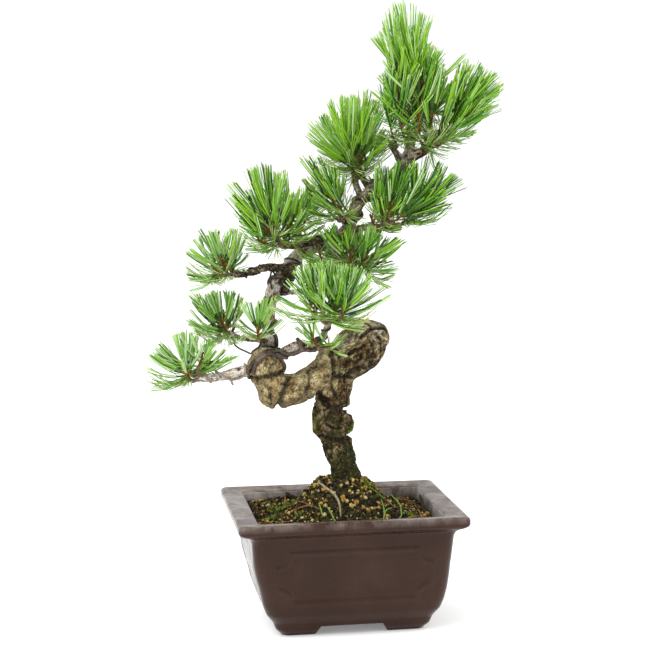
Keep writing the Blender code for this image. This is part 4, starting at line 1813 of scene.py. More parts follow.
@dataclass
class Pot(Part):
    """A rectangular clay pot with a lipped rim, a panel on each side and bracket feet.

    Attributes:
        width: Its width over the rim.
        depth: Its depth over the rim.
        profile: Rows of inset from the rim's edge, height and corner radius, from the cavity's floor over the
            rim to the inside of the foot.
        soft: The rounding of the profile's edges.
        spacing: The distance between corners along a side and down the outside.
        coarse: The same inside the cavity and on the rim.
        foot_height: The height of the gap between the feet.
        notch_front: Half of that gap in front, at the ground and at its top.
        notch_side: The same at the sides.
        walls: The lowest and highest height of the walls' outside.
        panel: The panel's distance from the side's ends, and its lowest and highest height.
        panel_corner: The radius of the panel's hollow corners.
        bead: The height of the bead round the panel.
        sunk: How deep the panel lies.
        front_relief: How strong the relief is in front and behind.
        side_relief: How strong it is at the short sides.
        inside_rows: The height below which the cavity has its own finish.
        shift: How far the body sits to the right under its rim.
        low_shift: How much further its foot sits to the right.
        low: The heights between which that further shift ends.
        lip: The heights between which the body's shape turns into the rim's.
        lip_stretch: How far the rim's ends stand out beyond the measured width.
        lip_shift: How far the rim sits to the right.
        lip_skew: How much further its front sits to the right than its back.
        lip_fall: How much lower its back right corner is than its back left one.
        holes: Where the drain holes are along the floor.
        hole_radius: Their radius.
    """

    width: float = 150.0
    depth: float = 125.0
    profile: tuple[tuple[float, float, float], ...] = (
        (26, 12.5, 5), (24, 14, 6), (18.5, 28, 6.5), (15.8, 50, 6), (14.9, 72, 5), (14.4, 78, 4.5),
        (13.6, 79.1, 4.5), (1.8, 80.8, 3.5), (0, 79.2, 4), (0, 75.0, 4), (1.8, 72.9, 4.2),
        (4.6, 71.6, 5), (6.6, 69.6, 6.5), (7.3, 66.0, 8), (7.8, 60.0, 9), (8.5, 52, 9.5), (9.8, 43, 9.5),
        (11.8, 32, 9.5), (13.7, 22.5, 9.5), (16.1, 15.6, 9), (19.6, 10.9, 8), (20.9, 9.3, 7),
        (22.5, 4.5, 6.5), (25.5, 1.4, 6), (26.5, 0, 6), (33.5, 0, 4), (34.5, 6.5, 4),
    )
    soft: float = 1.6
    spacing: float = 1.1
    coarse: float = 3.0
    foot_height: float = 6.5
    notch_front: tuple[float, float] = (24.5, 21.0)
    notch_side: tuple[float, float] = (17.5, 14.0)
    walls: tuple[float, float] = (11.0, 70.5)
    panel: tuple[float, float, float] = (12.0, 24.5, 59.5)
    panel_corner: float = 10.0
    bead: float = 0.75
    sunk: float = 0.8
    front_relief: float = 1.25
    side_relief: float = 0.35
    inside_rows: float = 78.6
    shift: float = 0.2
    low_shift: float = 1.35
    low: tuple[float, float] = (28.0, 50.0)
    lip: tuple[float, float] = (66.0, 73.0)
    lip_stretch: float = 1.9
    lip_shift: float = -0.5
    lip_skew: float = 0.4
    lip_fall: float = 0.25
    holes: tuple[float, float] = (-28.0, 28.0)
    hole_radius: float = 6.0

    def outline(self) -> np.ndarray:
        """Gives the profile with rounded edges and rows close enough for the panels' relief."""
        rows = np.array(self.profile, float)
        made = [rows[:1]]
        for before, row, after in zip(rows, rows[1:], rows[2:]):
            back, ahead = before - row, after - row
            to_back, to_ahead = np.linalg.norm(back[:2]), np.linalg.norm(ahead[:2])
            cut = min(self.soft, 0.45 * to_back, 0.45 * to_ahead)
            start, end = row + back * cut / to_back, row + ahead * cut / to_ahead
            t = np.linspace(0.0, 1.0, 4)[:, None]
            made.append((1 - t) ** 2 * start + 2 * t * (1 - t) * row + t ** 2 * end)
        rounded = np.vstack([*made, rows[-1:]])
        fine, cavity_rows = [rounded[:1]], 20
        for a, b in zip(rounded, rounded[1:]):
            outer = b[1] < self.lip[1] and len(fine) > cavity_rows
            step = self.spacing if outer else self.coarse
            count = max(1, math.ceil(np.linalg.norm(b[:2] - a[:2]) / step))
            fine.append(a + (b - a) * (np.arange(1, count + 1) / count)[:, None])
        return np.vstack(fine)

    def ring(self, inset: float, height: float, radius: float) -> np.ndarray:
        """Gives one ring of the pot: four straight sides with evenly set corners, and round edges between.

        Args:
            inset: The distance inside the rim's outer edge.
            height: The ring's height.
            radius: The round edges' radius.

        Returns:
            The ring's corners, always of the same number.
        """
        half_x, half_y = self.width / 2 - inset, self.depth / 2 - inset
        bend = np.radians(np.linspace(-90, 0, 9))[1:-1]
        made = []
        for turn, (cos, sin) in enumerate(((1, 0), (0, 1), (-1, 0), (0, -1))):
            wide, deep = (half_y, half_x) if turn % 2 else (half_x, half_y)
            count = round((self.depth if turn % 2 else self.width) / self.spacing)
            straight = np.stack([np.linspace(-1.0, 1.0, count) * (wide - radius), np.full(count, -deep)], -1)
            edge = [wide - radius + radius * np.cos(bend), -deep + radius + radius * np.sin(bend)]
            x, y = np.vstack([straight, np.stack(edge, -1)]).T
            made.append(np.stack([x * cos - y * sin, x * sin + y * cos], -1))
        return self.settled(np.vstack(made), height)

    def settled(self, flat: np.ndarray, height: float) -> np.ndarray:
        """Moves a ring as the real pot is out of true: its body leans and its lip is skewed and tilted.

        Args:
            flat: The ring's x and y.
            height: Its height.

        Returns:
            The ring's corners.
        """
        rim = float(smooth_step(*self.lip, np.array(height)))
        low = 1.0 - float(smooth_step(*self.low, np.array(height)))
        across, deep = flat[:, 0] / (self.width / 2), flat[:, 1] / (self.depth / 2)
        body = self.shift + self.low_shift * low
        skewed = self.lip_stretch * across + self.lip_shift - self.lip_skew * deep
        flat[:, 0] += body * (1.0 - rim) + rim * skewed
        return np.c_[flat, height + rim * (deep + 1.0) * (1.0 - self.lip_fall * across)]

    def panelled(self, corners: np.ndarray, outer: np.ndarray) -> np.ndarray:
        """Sinks the panels and raises the bead round them.

        Args:
            corners: All corners of the pot.
            outer: Which of them are on the outside of the walls.

        Returns:
            The corners with the panels' relief.
        """
        margin, low, high = self.panel
        middle, tall = (low + high) / 2, (high - low) / 2
        wall_depth, end_inset, body_inset, bead_width = 24.0, 17.0, 11.0, 1.5
        shaped = corners.copy()
        for axis, half, other_half in ((0, self.width / 2, self.depth / 2),
                                       (1, self.depth / 2, self.width / 2)):
            across = 1 - axis
            along = np.abs(corners[:, axis])
            facing = outer & (np.abs(corners[:, across]) > other_half - wall_depth)
            facing &= along < half - end_inset
            to_side = along - (half - margin - body_inset)
            to_top = np.abs(corners[:, 2] - middle) - tall
            to_corner = self.panel_corner - np.hypot(to_side, to_top)
            gap = np.maximum(np.maximum(to_side, to_top), to_corner)
            relief = self.bead * np.exp(-(gap / bead_width) ** 2) - self.sunk * smooth_step(0.4, 3.4, -gap)
            relief *= self.side_relief if axis else self.front_relief
            shaped[:, across] += np.sign(corners[:, across]) * np.where(facing, relief, 0.0)
        return shaped

    def arched(self, corners: np.ndarray) -> np.ndarray:
        """Lifts the foot between its brackets, in front, behind and at the sides."""
        wall_depth = 36.0
        shaped = corners.copy()
        low = corners[:, 2] < self.foot_height
        for axis, (ground, top), half in ((0, self.notch_front, self.depth / 2),
                                          (1, self.notch_side, self.width / 2)):
            wall = np.abs(corners[:, 1 - axis]) > half - wall_depth
            slope = np.clip((ground - np.abs(corners[:, axis])) / (ground - top), 0.0, 1.0)
            raised = np.maximum(shaped[:, 2], self.foot_height * slope)
            shaped[:, 2] = np.where(low & wall, raised, shaped[:, 2])
        return shaped

    def build(self) -> bpy.types.Object:
        """Makes the pot.

        Returns:
            The piece.
        """
        outline = self.outline()
        rings = [self.ring(*row) for row in outline]
        sides = len(rings[0])
        corners = np.vstack(rings)
        number = np.repeat(np.arange(len(rings)), sides)
        top = int(np.argmax(outline[:, 1]))
        bottom, under_lip = self.walls
        outer = (number > top) & (corners[:, 2] < under_lip) & (corners[:, 2] > bottom)
        corners = self.arched(self.panelled(corners, outer))
        corners = corners + self.unevenness(corners)
        inside = (number[:-sides] < top) & (np.repeat(outline[:-1, 1], sides) < self.inside_rows)
        gathered = Faces()
        gathered.add(corners, ring_faces(len(rings), sides), finish=inside.astype(int))
        self.close(gathered, rings[0], up=True)
        self.close(gathered, rings[-1], up=False)
        return gathered.piece("pot_shell", materials((ClayFinish(), WallFinish())), self.origin)

    def unevenness(self, corners: np.ndarray) -> np.ndarray:
        """Gives the small waviness of pressed clay."""
        out = unit(corners * LEVEL)
        return out * (0.22 * noise_at(corners, 26.0) + 0.10 * noise_at(corners, 7.0, 31.0))[:, None]

    def close(self, gathered: Faces, ring: np.ndarray, up: bool) -> None:
        """Closes the floor with a flat sheet that has the drain holes.

        Args:
            gathered: The pot's faces, to which the sheet is added.
            ring: The ring that the sheet fills.
            up: Whether the sheet looks up.
        """
        turn = full_turn(24)
        circle = np.stack([self.hole_radius * np.cos(turn), self.hole_radius * np.sin(turn)], -1)
        loops = [ring[:, :2], *(circle + (middle, 0.0) for middle in self.holes)]
        edges, first = [], 0
        for loop in loops:
            count = len(loop)
            edges += [(first + i, first + (i + 1) % count) for i in range(count)]
            first += count
        flat = [Vector(place) for place in np.vstack(loops)]
        places, _, faces, *_ = delaunay_2d_cdt(flat, edges, [], 2, 1e-5)
        places = np.array([tuple(place) for place in places])
        kept = []
        for face in faces:
            middle = places[list(face)].mean(0)
            away = min(np.hypot(*(middle - (hole, 0.0))) for hole in self.holes)
            if away > self.hole_radius - 0.1:
                kept.append(face if up else face[::-1])
        gathered.add(np.c_[places, np.full(len(places), ring[0, 2])], np.array(kept))


@dataclass
class Pits(Part):
    """Small holes that burst grains left in the clay, drawn as flat dark spots of painted shade.

    Attributes:
        front: Rows of x, z and radius on the front wall.
        rim: Rows of x, y and radius on the rim's top.
        scattered: The number of further pits on the other walls.
        corners: The number of corners round a pit.
        seed: The seed of their places.
    """

    FAR = 200.0

    front: tuple[Point, ...] = (
        (-4.9, 57.6, 0.95), (-3.6, 57.9, 0.8), (11.1, 50.0, 0.9), (12.1, 50.9, 0.6), (15.7, 45.1, 0.6),
        (16.8, 42.7, 0.7), (8.3, 65.7, 0.5), (15.2, 65.8, 0.6), (-37.2, 60.1, 0.5), (-35.6, 60.4, 0.4),
        (-25.4, 65.2, 0.4), (-30.2, 42.0, 0.35), (29.8, 33.1, 0.35), (-28.4, 23.6, 0.5),
    )
    rim: tuple[Point, ...] = ((65.3, -60.5, 0.7), (68.2, -59.8, 0.6), (-40.2, -59.3, 0.4), (-67.0, 20.0, 0.5))
    scattered: int = 34
    corners: int = 11
    seed: int = 5

    def shots(self, rng: np.random.Generator) -> list[tuple[tuple, tuple, float]]:
        """Lists where each pit is looked for.

        Args:
            rng: The source of the scattered pits' places.

        Returns:
            Rows of a place far off, the direction to the pot and the pit's radius.
        """
        shots = [((x, -self.FAR, z), (0.0, 1.0, 0.0), radius) for x, z, radius in self.front]
        shots += [((x, y, self.FAR), (0.0, 0.0, -1.0), radius) for x, y, radius in self.rim]
        for _ in range(self.scattered):
            turn = rng.integers(0, 4) * math.pi / 2
            along, z = rng.uniform(-44, 44), rng.uniform(14, 66)
            out = np.array([math.cos(turn), math.sin(turn), 0.0])
            side = np.array([-out[1], out[0], 0.0])
            if out[1] > -0.5:
                place = out * self.FAR + side * along + UP * z
                shots.append((tuple(place), tuple(-out), rng.uniform(0.25, 0.6)))
        return shots

    def build(self, pot: bpy.types.Object) -> bpy.types.Object:
        """Makes the pits as dark, uneven spots that hug the clay, painted shade in place of the holes.

        Args:
            pot: The pot's piece.

        Returns:
            The piece.
        """
        rng = np.random.default_rng(self.seed)
        turn = full_turn(self.corners)
        cos, sin = np.cos(turn)[:, None], np.sin(turn)[:, None]
        numbers = np.arange(self.corners)
        fan = np.stack([np.full(self.corners, self.corners), numbers, (numbers + 1) % self.corners], -1)
        gathered = Faces()
        for place, way, radius in self.shots(rng):
            found, hit, normal, _ = pot.ray_cast(Vector(np.array(place) * MM + self.origin), Vector(way))
            if not found:
                continue
            middle = (np.array(hit) - self.origin) / MM
            out = np.array(normal)
            side = unit(np.cross(out, UP + 0.1))
            other = np.cross(out, side)
            rough = radius * rng.uniform(0.65, 1.2, self.corners) * (1.0 + 0.35 * np.cos(turn) ** 2)
            ring = middle + (cos * side + sin * other) * rough[:, None]
            gathered.add(np.vstack([ring + out * 0.02, middle + out * 0.07]), fan)
        # The pits' near-black colour is painted shade of the holes' insides.
        finish = GrainFinish("pit_dark", srgb(20, 14, 11), srgb(8, 6, 5))
        return gathered.piece("clay_pits", materials((finish,)), self.origin)


@dataclass(frozen=True)
class GrainKind:
    """One kind of loose grain on the soil.

    Attributes:
        count: How many there are.
        detail: How finely a grain is made.
        low: The radius of the smallest.
        high: The radius of the largest.
        shares: The share of each finish among them.
        heaped: Whether they lie on the heap round the trunk.
    """

    count: int
    detail: int
    low: float
    high: float
    shares: tuple[float, float, float, float, float, float]
    heaped: bool = False


@dataclass
class Soil(Part):
    """The soil's bed with its crumbs and grains.

    Attributes:
        half_x: Half of the bed's width.
        half_y: Half of the bed's depth.
        level: Its height at the walls.
        top: Its height at the trunk.
        thickness: How far down the bed goes at the walls.
        lumps: Rows of the size, the noise's shift and the height of its lumps, largest first.
        foot: The trunk's middle and radius at the soil, where no grain lies.
        kinds: The kinds of grain, smallest first.
        seed: The seed of the grains' places.
    """

    half_x: float = 59.6
    half_y: float = 47.1
    level: float = 70.5
    top: float = 98.0
    thickness: float = 8.0
    lumps: tuple[Point, ...] = ((9.0, 0.0, 1.6), (2.6, 7.0, 0.9), (1.1, 13.0, 0.6))
    foot: tuple[float, float] = (4.0, 10.5)
    kinds: tuple[GrainKind, ...] = (
        GrainKind(5200, 1, 0.45, 1.15, (0.52, 0.20, 0.14, 0.08, 0.04, 0.02)),
        GrainKind(480, 2, 0.9, 1.75, (0.16, 0.22, 0.22, 0.22, 0.12, 0.06)),
        GrainKind(230, 2, 1.0, 1.9, (0.14, 0.20, 0.18, 0.26, 0.15, 0.07), heaped=True),
    )
    seed: int = 4

    def height(self, x: np.ndarray, y: np.ndarray) -> np.ndarray:
        """Gives the soil's height: low at the walls and heaped round the trunk's foot."""
        away = np.hypot((x - 0.4) * 0.92, y)
        heap = np.exp(-0.5 * (np.maximum(0.0, away - 13.0) / 9.5) ** 2)
        skirt = np.exp(-0.5 * (away / 30.0) ** 2)
        back_left = 4.0 * smooth_step(0.0, 40.0, -x) * smooth_step(-10.0, 35.0, y)
        back_right = 1.5 * smooth_step(10.0, 50.0, x) * smooth_step(0.0, 40.0, y)
        return self.level + (self.top - self.level) * (0.72 * heap + 0.28 * skirt) + back_left + back_right

    def build_bed(self) -> bpy.types.Object:
        """Makes the soil's crumbly surface, closed underneath.

        Returns:
            The piece.
        """
        across, deep = 190, 150
        x, y = np.meshgrid(np.linspace(-self.half_x, self.half_x, across),
                           np.linspace(-self.half_y, self.half_y, deep), indexing="ij")
        rows = np.stack([x.ravel(), y.ravel(), np.zeros(x.size)], -1)
        lumps = sum(tall * noise_at(rows, size, shift) for size, shift, tall in self.lumps)
        rows[:, 2] = self.height(rows[:, 0], rows[:, 1]) + lumps
        number = np.arange(across * deep).reshape(across, deep)
        faces = np.stack([number[:-1, :-1], number[1:, :-1], number[1:, 1:], number[:-1, 1:]], -1)
        rim = np.concatenate([number[:, 0], number[-1, 1:], number[-2::-1, -1], number[0, -2:0:-1]])
        under = self.level - self.thickness
        skirt = rows[rim] * LEVEL * 0.985 + UP * under
        count = len(rim)
        lower, middle = len(rows) + np.arange(count), np.full(count, len(rows) + count)
        walls = np.stack([rim, lower, np.roll(lower, -1), np.roll(rim, -1)], -1)
        floor = np.stack([lower, middle, np.roll(lower, -1)], -1)
        gathered = Faces()
        gathered.add(np.vstack([rows, skirt, UP * under]), faces.reshape(-1, 4), walls, floor)
        return gathered.piece("soil_bed", materials((SoilFinish(),)), self.origin)

    def place(self, kind: GrainKind, rng: np.random.Generator) -> tuple[float, float]:
        """Draws a grain's place on the bed or on the heap."""
        x = rng.uniform(-self.half_x + 0.8, self.half_x - 0.8)
        y = rng.uniform(-self.half_y + 0.8, self.half_y - 0.8)
        if kind.heaped:
            turn, away = rng.uniform(0, FULL), rng.uniform(10.6, 30.0)
            x, y = self.foot[0] + away * math.cos(turn), away * math.sin(turn)
        return x, y

    def build_grains(self) -> bpy.types.Object:
        """Makes the crumbs and the larger loose grains on the soil.

        Returns:
            The piece.
        """
        rng = np.random.default_rng(self.seed)
        gathered = Faces()
        middle, clear = self.foot
        for kind in self.kinds:
            base, faces = self.pebble(kind.detail)
            for _ in range(kind.count):
                x, y = self.place(kind, rng)
                if np.hypot(x - middle, y) < clear:
                    continue
                radius = rng.uniform(kind.low, kind.high)
                angle, axis = rng.uniform(0, FULL), Vector(rng.normal(size=3)).normalized()
                turn = np.array(Matrix.Rotation(angle, 3, axis))
                rough = 1.0 + 0.30 * rng.uniform(-1.0, 1.0, len(base))
                if kind.detail > 1:
                    rough = 1.0 + 0.22 * noise_at(base, 0.7, float(rng.uniform(0, 90)))
                corners = (base * rough[:, None] * rng.uniform(0.6, 1.2, 3) * radius) @ turn.T
                ground = float(self.height(np.array(x), np.array(y))) + self.lump(x, y)
                z = ground + rng.uniform(-0.3, 0.6) * radius
                gathered.add(corners + (x, y, z), faces, finish=int(rng.choice(6, p=kind.shares)))
        return gathered.piece("soil_grains", materials((
            GrainFinish("grain_dark", srgb(20, 17, 9), srgb(8, 7, 4)),
            GrainFinish("grain_brown", srgb(66, 52, 28), srgb(28, 22, 12)),
            GrainFinish("grain_olive", srgb(76, 74, 28)),
            GrainFinish("grain_ochre", srgb(176, 136, 56)),
            GrainFinish("grain_tan", srgb(186, 164, 96)),
            GrainFinish("grain_cream", srgb(204, 186, 132)),
        )), self.origin, smooth=False)

    def pebble(self, detail: int) -> tuple[np.ndarray, np.ndarray]:
        """Gives the corners and faces of a round pebble of radius one."""
        made = bmesh.new()
        bmesh.ops.create_icosphere(made, subdivisions=detail, radius=1.0)
        base = np.array([corner.co for corner in made.verts])
        faces = np.array([[corner.index for corner in face.verts] for face in made.faces])
        made.free()
        return base, faces

    def lump(self, x: float, y: float) -> float:
        """Gives the height of the soil's large lumps at a place."""
        return sum(tall * noise.noise([part / size + shift for part in (x, y, 0.0)])
                   for size, shift, tall in self.lumps[:2])


@dataclass(frozen=True)
class Strand:
    """A root, twig, fallen needle or blade on the soil.

    Attributes:
        points: Rows of x, y and the height above the soil.
        radius: Its radius at its thickest.
        finish: The number of its finish.
    """

    points: tuple[Point, ...]
    radius: float
    finish: int


def add_leaf(gathered: Faces, place: np.ndarray, way: np.ndarray, length: float, width: float, finish: int,
             rng: np.random.Generator) -> None:
    """Adds a small pointed leaf of moss.

    Args:
        gathered: What it is added to.
        place: Its foot.
        way: Its direction.
        length: Its length.
        width: Its width.
        finish: The number of its finish.
        rng: The source of its turn.
    """
    side = unit(np.cross(way, rng.normal(size=3)))
    other = np.cross(way, side)
    back = place + other * width * 0.4 + way * length * 0.3
    corners = np.array([place + side * width / 2, place - side * width / 2, back, place + way * length])
    gathered.add(corners, np.array([[0, 2, 3], [2, 1, 3], [1, 0, 3], [0, 1, 2]]), finish=finish)


@dataclass
class Litter(Part):
    """What lies and grows on the soil: roots, twigs, chips, blades and moss.

    Attributes:
        strands: The listed pieces.
        moss_spots: Rows of x, y, radius and number of moss leaves.
        needles: The number of fallen needles.
        needle_radius: Their radius.
        seed: The seed of what is scattered.
    """

    strands: tuple[Strand, ...]
    moss_spots: tuple[tuple[float, float, float, int], ...]
    needles: int = 46
    needle_radius: float = 0.35
    seed: int = 12

    def fallen(self, rng: np.random.Generator) -> Strand:
        """Draws one fallen needle.

        Args:
            rng: The source of its place, length and finish.

        Returns:
            The needle.
        """
        x, y = rng.uniform(-54, 54), rng.uniform(-42, 42)
        turn, long = rng.uniform(0, FULL), rng.uniform(5.0, 14.0)
        way = np.array([math.cos(turn), math.sin(turn)])
        ends = np.clip([(x, y) + way * long * part for part in (-0.5, 0.0, 0.5)], (-57, -44), (57, 44))
        heights = (rng.uniform(0.3, 1.2), rng.uniform(0.8, 2.0), rng.uniform(0.3, 1.6))
        points = tuple((*end, height) for end, height in zip(ends, heights))
        return Strand(points, self.needle_radius, int(rng.integers(1, 4)))

    def build(self, soil: Soil) -> bpy.types.Object:
        """Makes the litter.

        Args:
            soil: The soil that it lies on.

        Returns:
            The piece.
        """
        rng = np.random.default_rng(self.seed)
        gathered = Faces()
        for strand in [*self.strands, *[self.fallen(rng) for _ in range(self.needles)]]:
            rows = smooth_rows(strand.points, 0.9)
            rows[:, 2] += soil.height(rows[:, 0], rows[:, 1])
            part = np.linspace(-1.0, 1.0, len(rows))
            radii = strand.radius * (1.0 - 0.55 * part ** 2) * (1.0 + 0.12 * noise_at(rows, 1.6))
            gathered.add(*tube(np.c_[rows, radii], 8, round_start=True), finish=strand.finish)
        for x, y, radius, count in self.moss_spots:
            for _ in range(count):
                off = rng.normal(0.0, radius / 2, 2)
                place = np.array([x + off[0], y + off[1], 0.0])
                rise = 2.4 * math.exp(-(off @ off) / radius ** 2) + rng.uniform(0.0, 0.8)
                place[2] = float(soil.height(place[0], place[1])) + rise
                way = unit(rng.normal(0.0, 0.8, 3) + UP)
                add_leaf(gathered, place, way, rng.uniform(0.8, 2.0), 0.5, int(rng.integers(5, 8)), rng)
        return gathered.piece("litter", materials((
            GrainFinish("root_pale", srgb(158, 150, 124), srgb(90, 84, 60)),
            GrainFinish("twig_brown", srgb(134, 98, 58), srgb(80, 54, 30)),
            GrainFinish("twig_dark", srgb(50, 38, 24), srgb(22, 16, 10)),
            GrainFinish("needle_fallen", srgb(146, 112, 52), srgb(96, 66, 30)),
            PlainFinish("blade_green", srgb(106, 144, 54), 0.5),
            PlainFinish("moss_bright", srgb(140, 170, 44), 0.8),
            PlainFinish("moss_green", srgb(84, 112, 26), 0.8),
            PlainFinish("moss_dark", srgb(44, 54, 16), 0.85),
        )), self.origin, smooth=False)


@dataclass
class TrunkMoss(Part):
    """Short moss on the mossy parts of the bark.

    Attributes:
        leaves: The number of moss leaves.
        bright: Places where the moss is freshest.
        bright_size: How wide those places are.
        seed: The seed of the leaves' places.
    """

    leaves: int = 9000
    bright: tuple[Point, ...] = ((-19.5, -5, 136), (8.5, -6, 133), (-19.0, -5, 140), (6, -8, 130))
    bright_size: float = 3.6
    seed: int = 31

    def build(self, bark: bpy.types.Object) -> bpy.types.Object:
        """Makes the moss.

        Args:
            bark: The trunk's bark, with its tone.

        Returns:
            The piece.
        """
        rng = np.random.default_rng(self.seed)
        mesh = bark.data
        count = len(mesh.vertices)
        tone = np.empty(count * 4, np.float32)
        mesh.color_attributes[BarkSkin.TONE].data.foreach_get("color", tone)
        places, normals = (corner_rows(mesh) - self.origin) / MM, normal_rows(mesh)
        moss = tone.reshape(-1, 4)[:, 1] ** 2
        fresh = np.zeros(count)
        for spot in self.bright:
            away = np.linalg.norm(places - spot, axis=1) / self.bright_size
            fresh = np.maximum(fresh, np.exp(-away ** 2))
        weight = moss + 1.6 * fresh
        gathered = Faces()
        for i in rng.choice(count, self.leaves, p=weight / weight.sum()):
            way = unit(normals[i] + rng.normal(0.0, 0.6, 3) + UP * 0.4)
            lush = fresh[i] > rng.random() or rng.random() < 0.06
            finish = 0 if lush else int(rng.choice([1, 2, 3], p=[0.2, 0.4, 0.4]))
            long = rng.uniform(0.5, 1.1) * (1.5 if lush else 1.0)
            add_leaf(gathered, places[i] - way * 0.15, way, long, 0.42, finish, rng)
        return gathered.piece("trunk_moss", materials((
            PlainFinish("bark_moss_bright", srgb(120, 146, 36), 0.8),
            PlainFinish("bark_moss_green", srgb(84, 96, 26), 0.85),
            PlainFinish("bark_moss_olive", srgb(56, 60, 20), 0.85),
            PlainFinish("bark_moss_dark", srgb(28, 30, 12), 0.9),
        )), self.origin, smooth=False)


@dataclass(frozen=True)
class Camera:
    """The photograph's view.

    Attributes:
        azimuth: The turn round the object; 0 looks along +Y.
        elevation: The height above the horizon, in degrees.
        roll: The tilt of the picture, in degrees.
        distance: The distance from the target, in metres.
        target: The place that it looks at, from the middle of the pot's foot, in metres.
        focal_pixels: The focal length in the photograph's pixels.
        picture: The photograph's width and height in pixels.
        sensor: The sensor's width in millimetres.
    """

    azimuth: float = -8.42
    elevation: float = 6.36
    roll: float = -0.70
    distance: float = 1.218
    target: Point = (-0.0100, 0.0, 0.2037)
    focal_pixels: float = 1800.0
    picture: int = 650
    sensor: float = 36.0

    def axes(self) -> tuple[Vector, Vector, Vector]:
        """Gives the camera's directions to its right, up and back."""
        a, e, r = (math.radians(angle) for angle in (self.azimuth, self.elevation, self.roll))
        back = Vector((math.sin(a) * math.cos(e), -math.cos(a) * math.cos(e), math.sin(e)))
        level = Vector(UP).cross(back).normalized()
        rise = back.cross(level)
        return level * math.cos(r) + rise * math.sin(r), rise * math.cos(r) - level * math.sin(r), back

    def build(self, origin: np.ndarray) -> None:
        """Makes the camera and puts it to use.

        Args:
            origin: The place of the pot's foot in the frame, in metres.
        """
        right, up, back = self.axes()
        data = bpy.data.cameras.new("camera")
        data.sensor_width = self.sensor
        data.lens = self.focal_pixels * self.sensor / self.picture
        camera = bpy.data.objects.new("camera", data)
        bpy.context.collection.objects.link(camera)
        place = Vector(origin) + Vector(self.target) + back * self.distance
        camera.matrix_world = Matrix.Translation(place) @ Matrix((right, up, back)).transposed().to_4x4()
        bpy.context.scene.camera = camera


@dataclass(frozen=True)
class Studio:
    """A white floor under soft light from all round.

    Attributes:
        floor_half: Half of the floor's side, in metres.
        floor_colour: The floor's colour.
        floor_glow: How much light the floor gives off itself, as under a light table.
        sky: The brightness of the light from all round.
    """

    floor_half: float = 6.0
    floor_colour: Colour = (0.96, 0.96, 0.96, 1.0)
    floor_glow: float = 0.2
    sky: float = 1.08

    def build(self) -> None:
        """Makes the floor, the lamps and the world's light."""
        scene = bpy.context.scene
        scene.view_settings.view_transform = "Standard"
        world = bpy.data.worlds.new("studio")
        scene.world = world
        world.use_nodes = True
        light = world.node_tree.nodes["Background"].inputs
        light["Strength"].default_value = self.sky
        light["Color"].default_value = WHITE
        mesh = bpy.data.meshes.new("floor")
        half = self.floor_half
        corners = [(-half, -half, 0), (half, -half, 0), (half, half, 0), (-half, half, 0)]
        mesh.from_pydata(corners, [], [(0, 1, 2, 3)])
        floor = bpy.data.objects.new("floor", mesh)
        scene.collection.objects.link(floor)
        n = Nodes("white_floor", Base_Color=self.floor_colour, Roughness=0.9,
                  Emission_Color=self.floor_colour, Emission_Strength=self.floor_glow)
        mesh.materials.append(n.material)
        floor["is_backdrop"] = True
        self.lamp("key", (-1.0, -0.6, 1.7), 1.6, 30.0)
        self.lamp("side", (1.2, -0.5, 1.2), 0.7, 6.0)

    def lamp(self, name: str, place: Point, size: float, power: float) -> None:
        """Adds a square soft lamp that looks at the tree.

        Args:
            name: The lamp's name.
            place: Its place in metres.
            size: Its side in metres.
            power: Its power in watts.
        """
        data = bpy.data.lights.new(name, "AREA")
        data.size = size
        data.energy = power
        lamp = bpy.data.objects.new(name, data)
        bpy.context.scene.collection.objects.link(lamp)
        lamp.location = place
        lamp.rotation_euler = (Vector((0.0, 0.0, 0.2)) - Vector(place)).to_track_quat("-Z", "Y").to_euler()


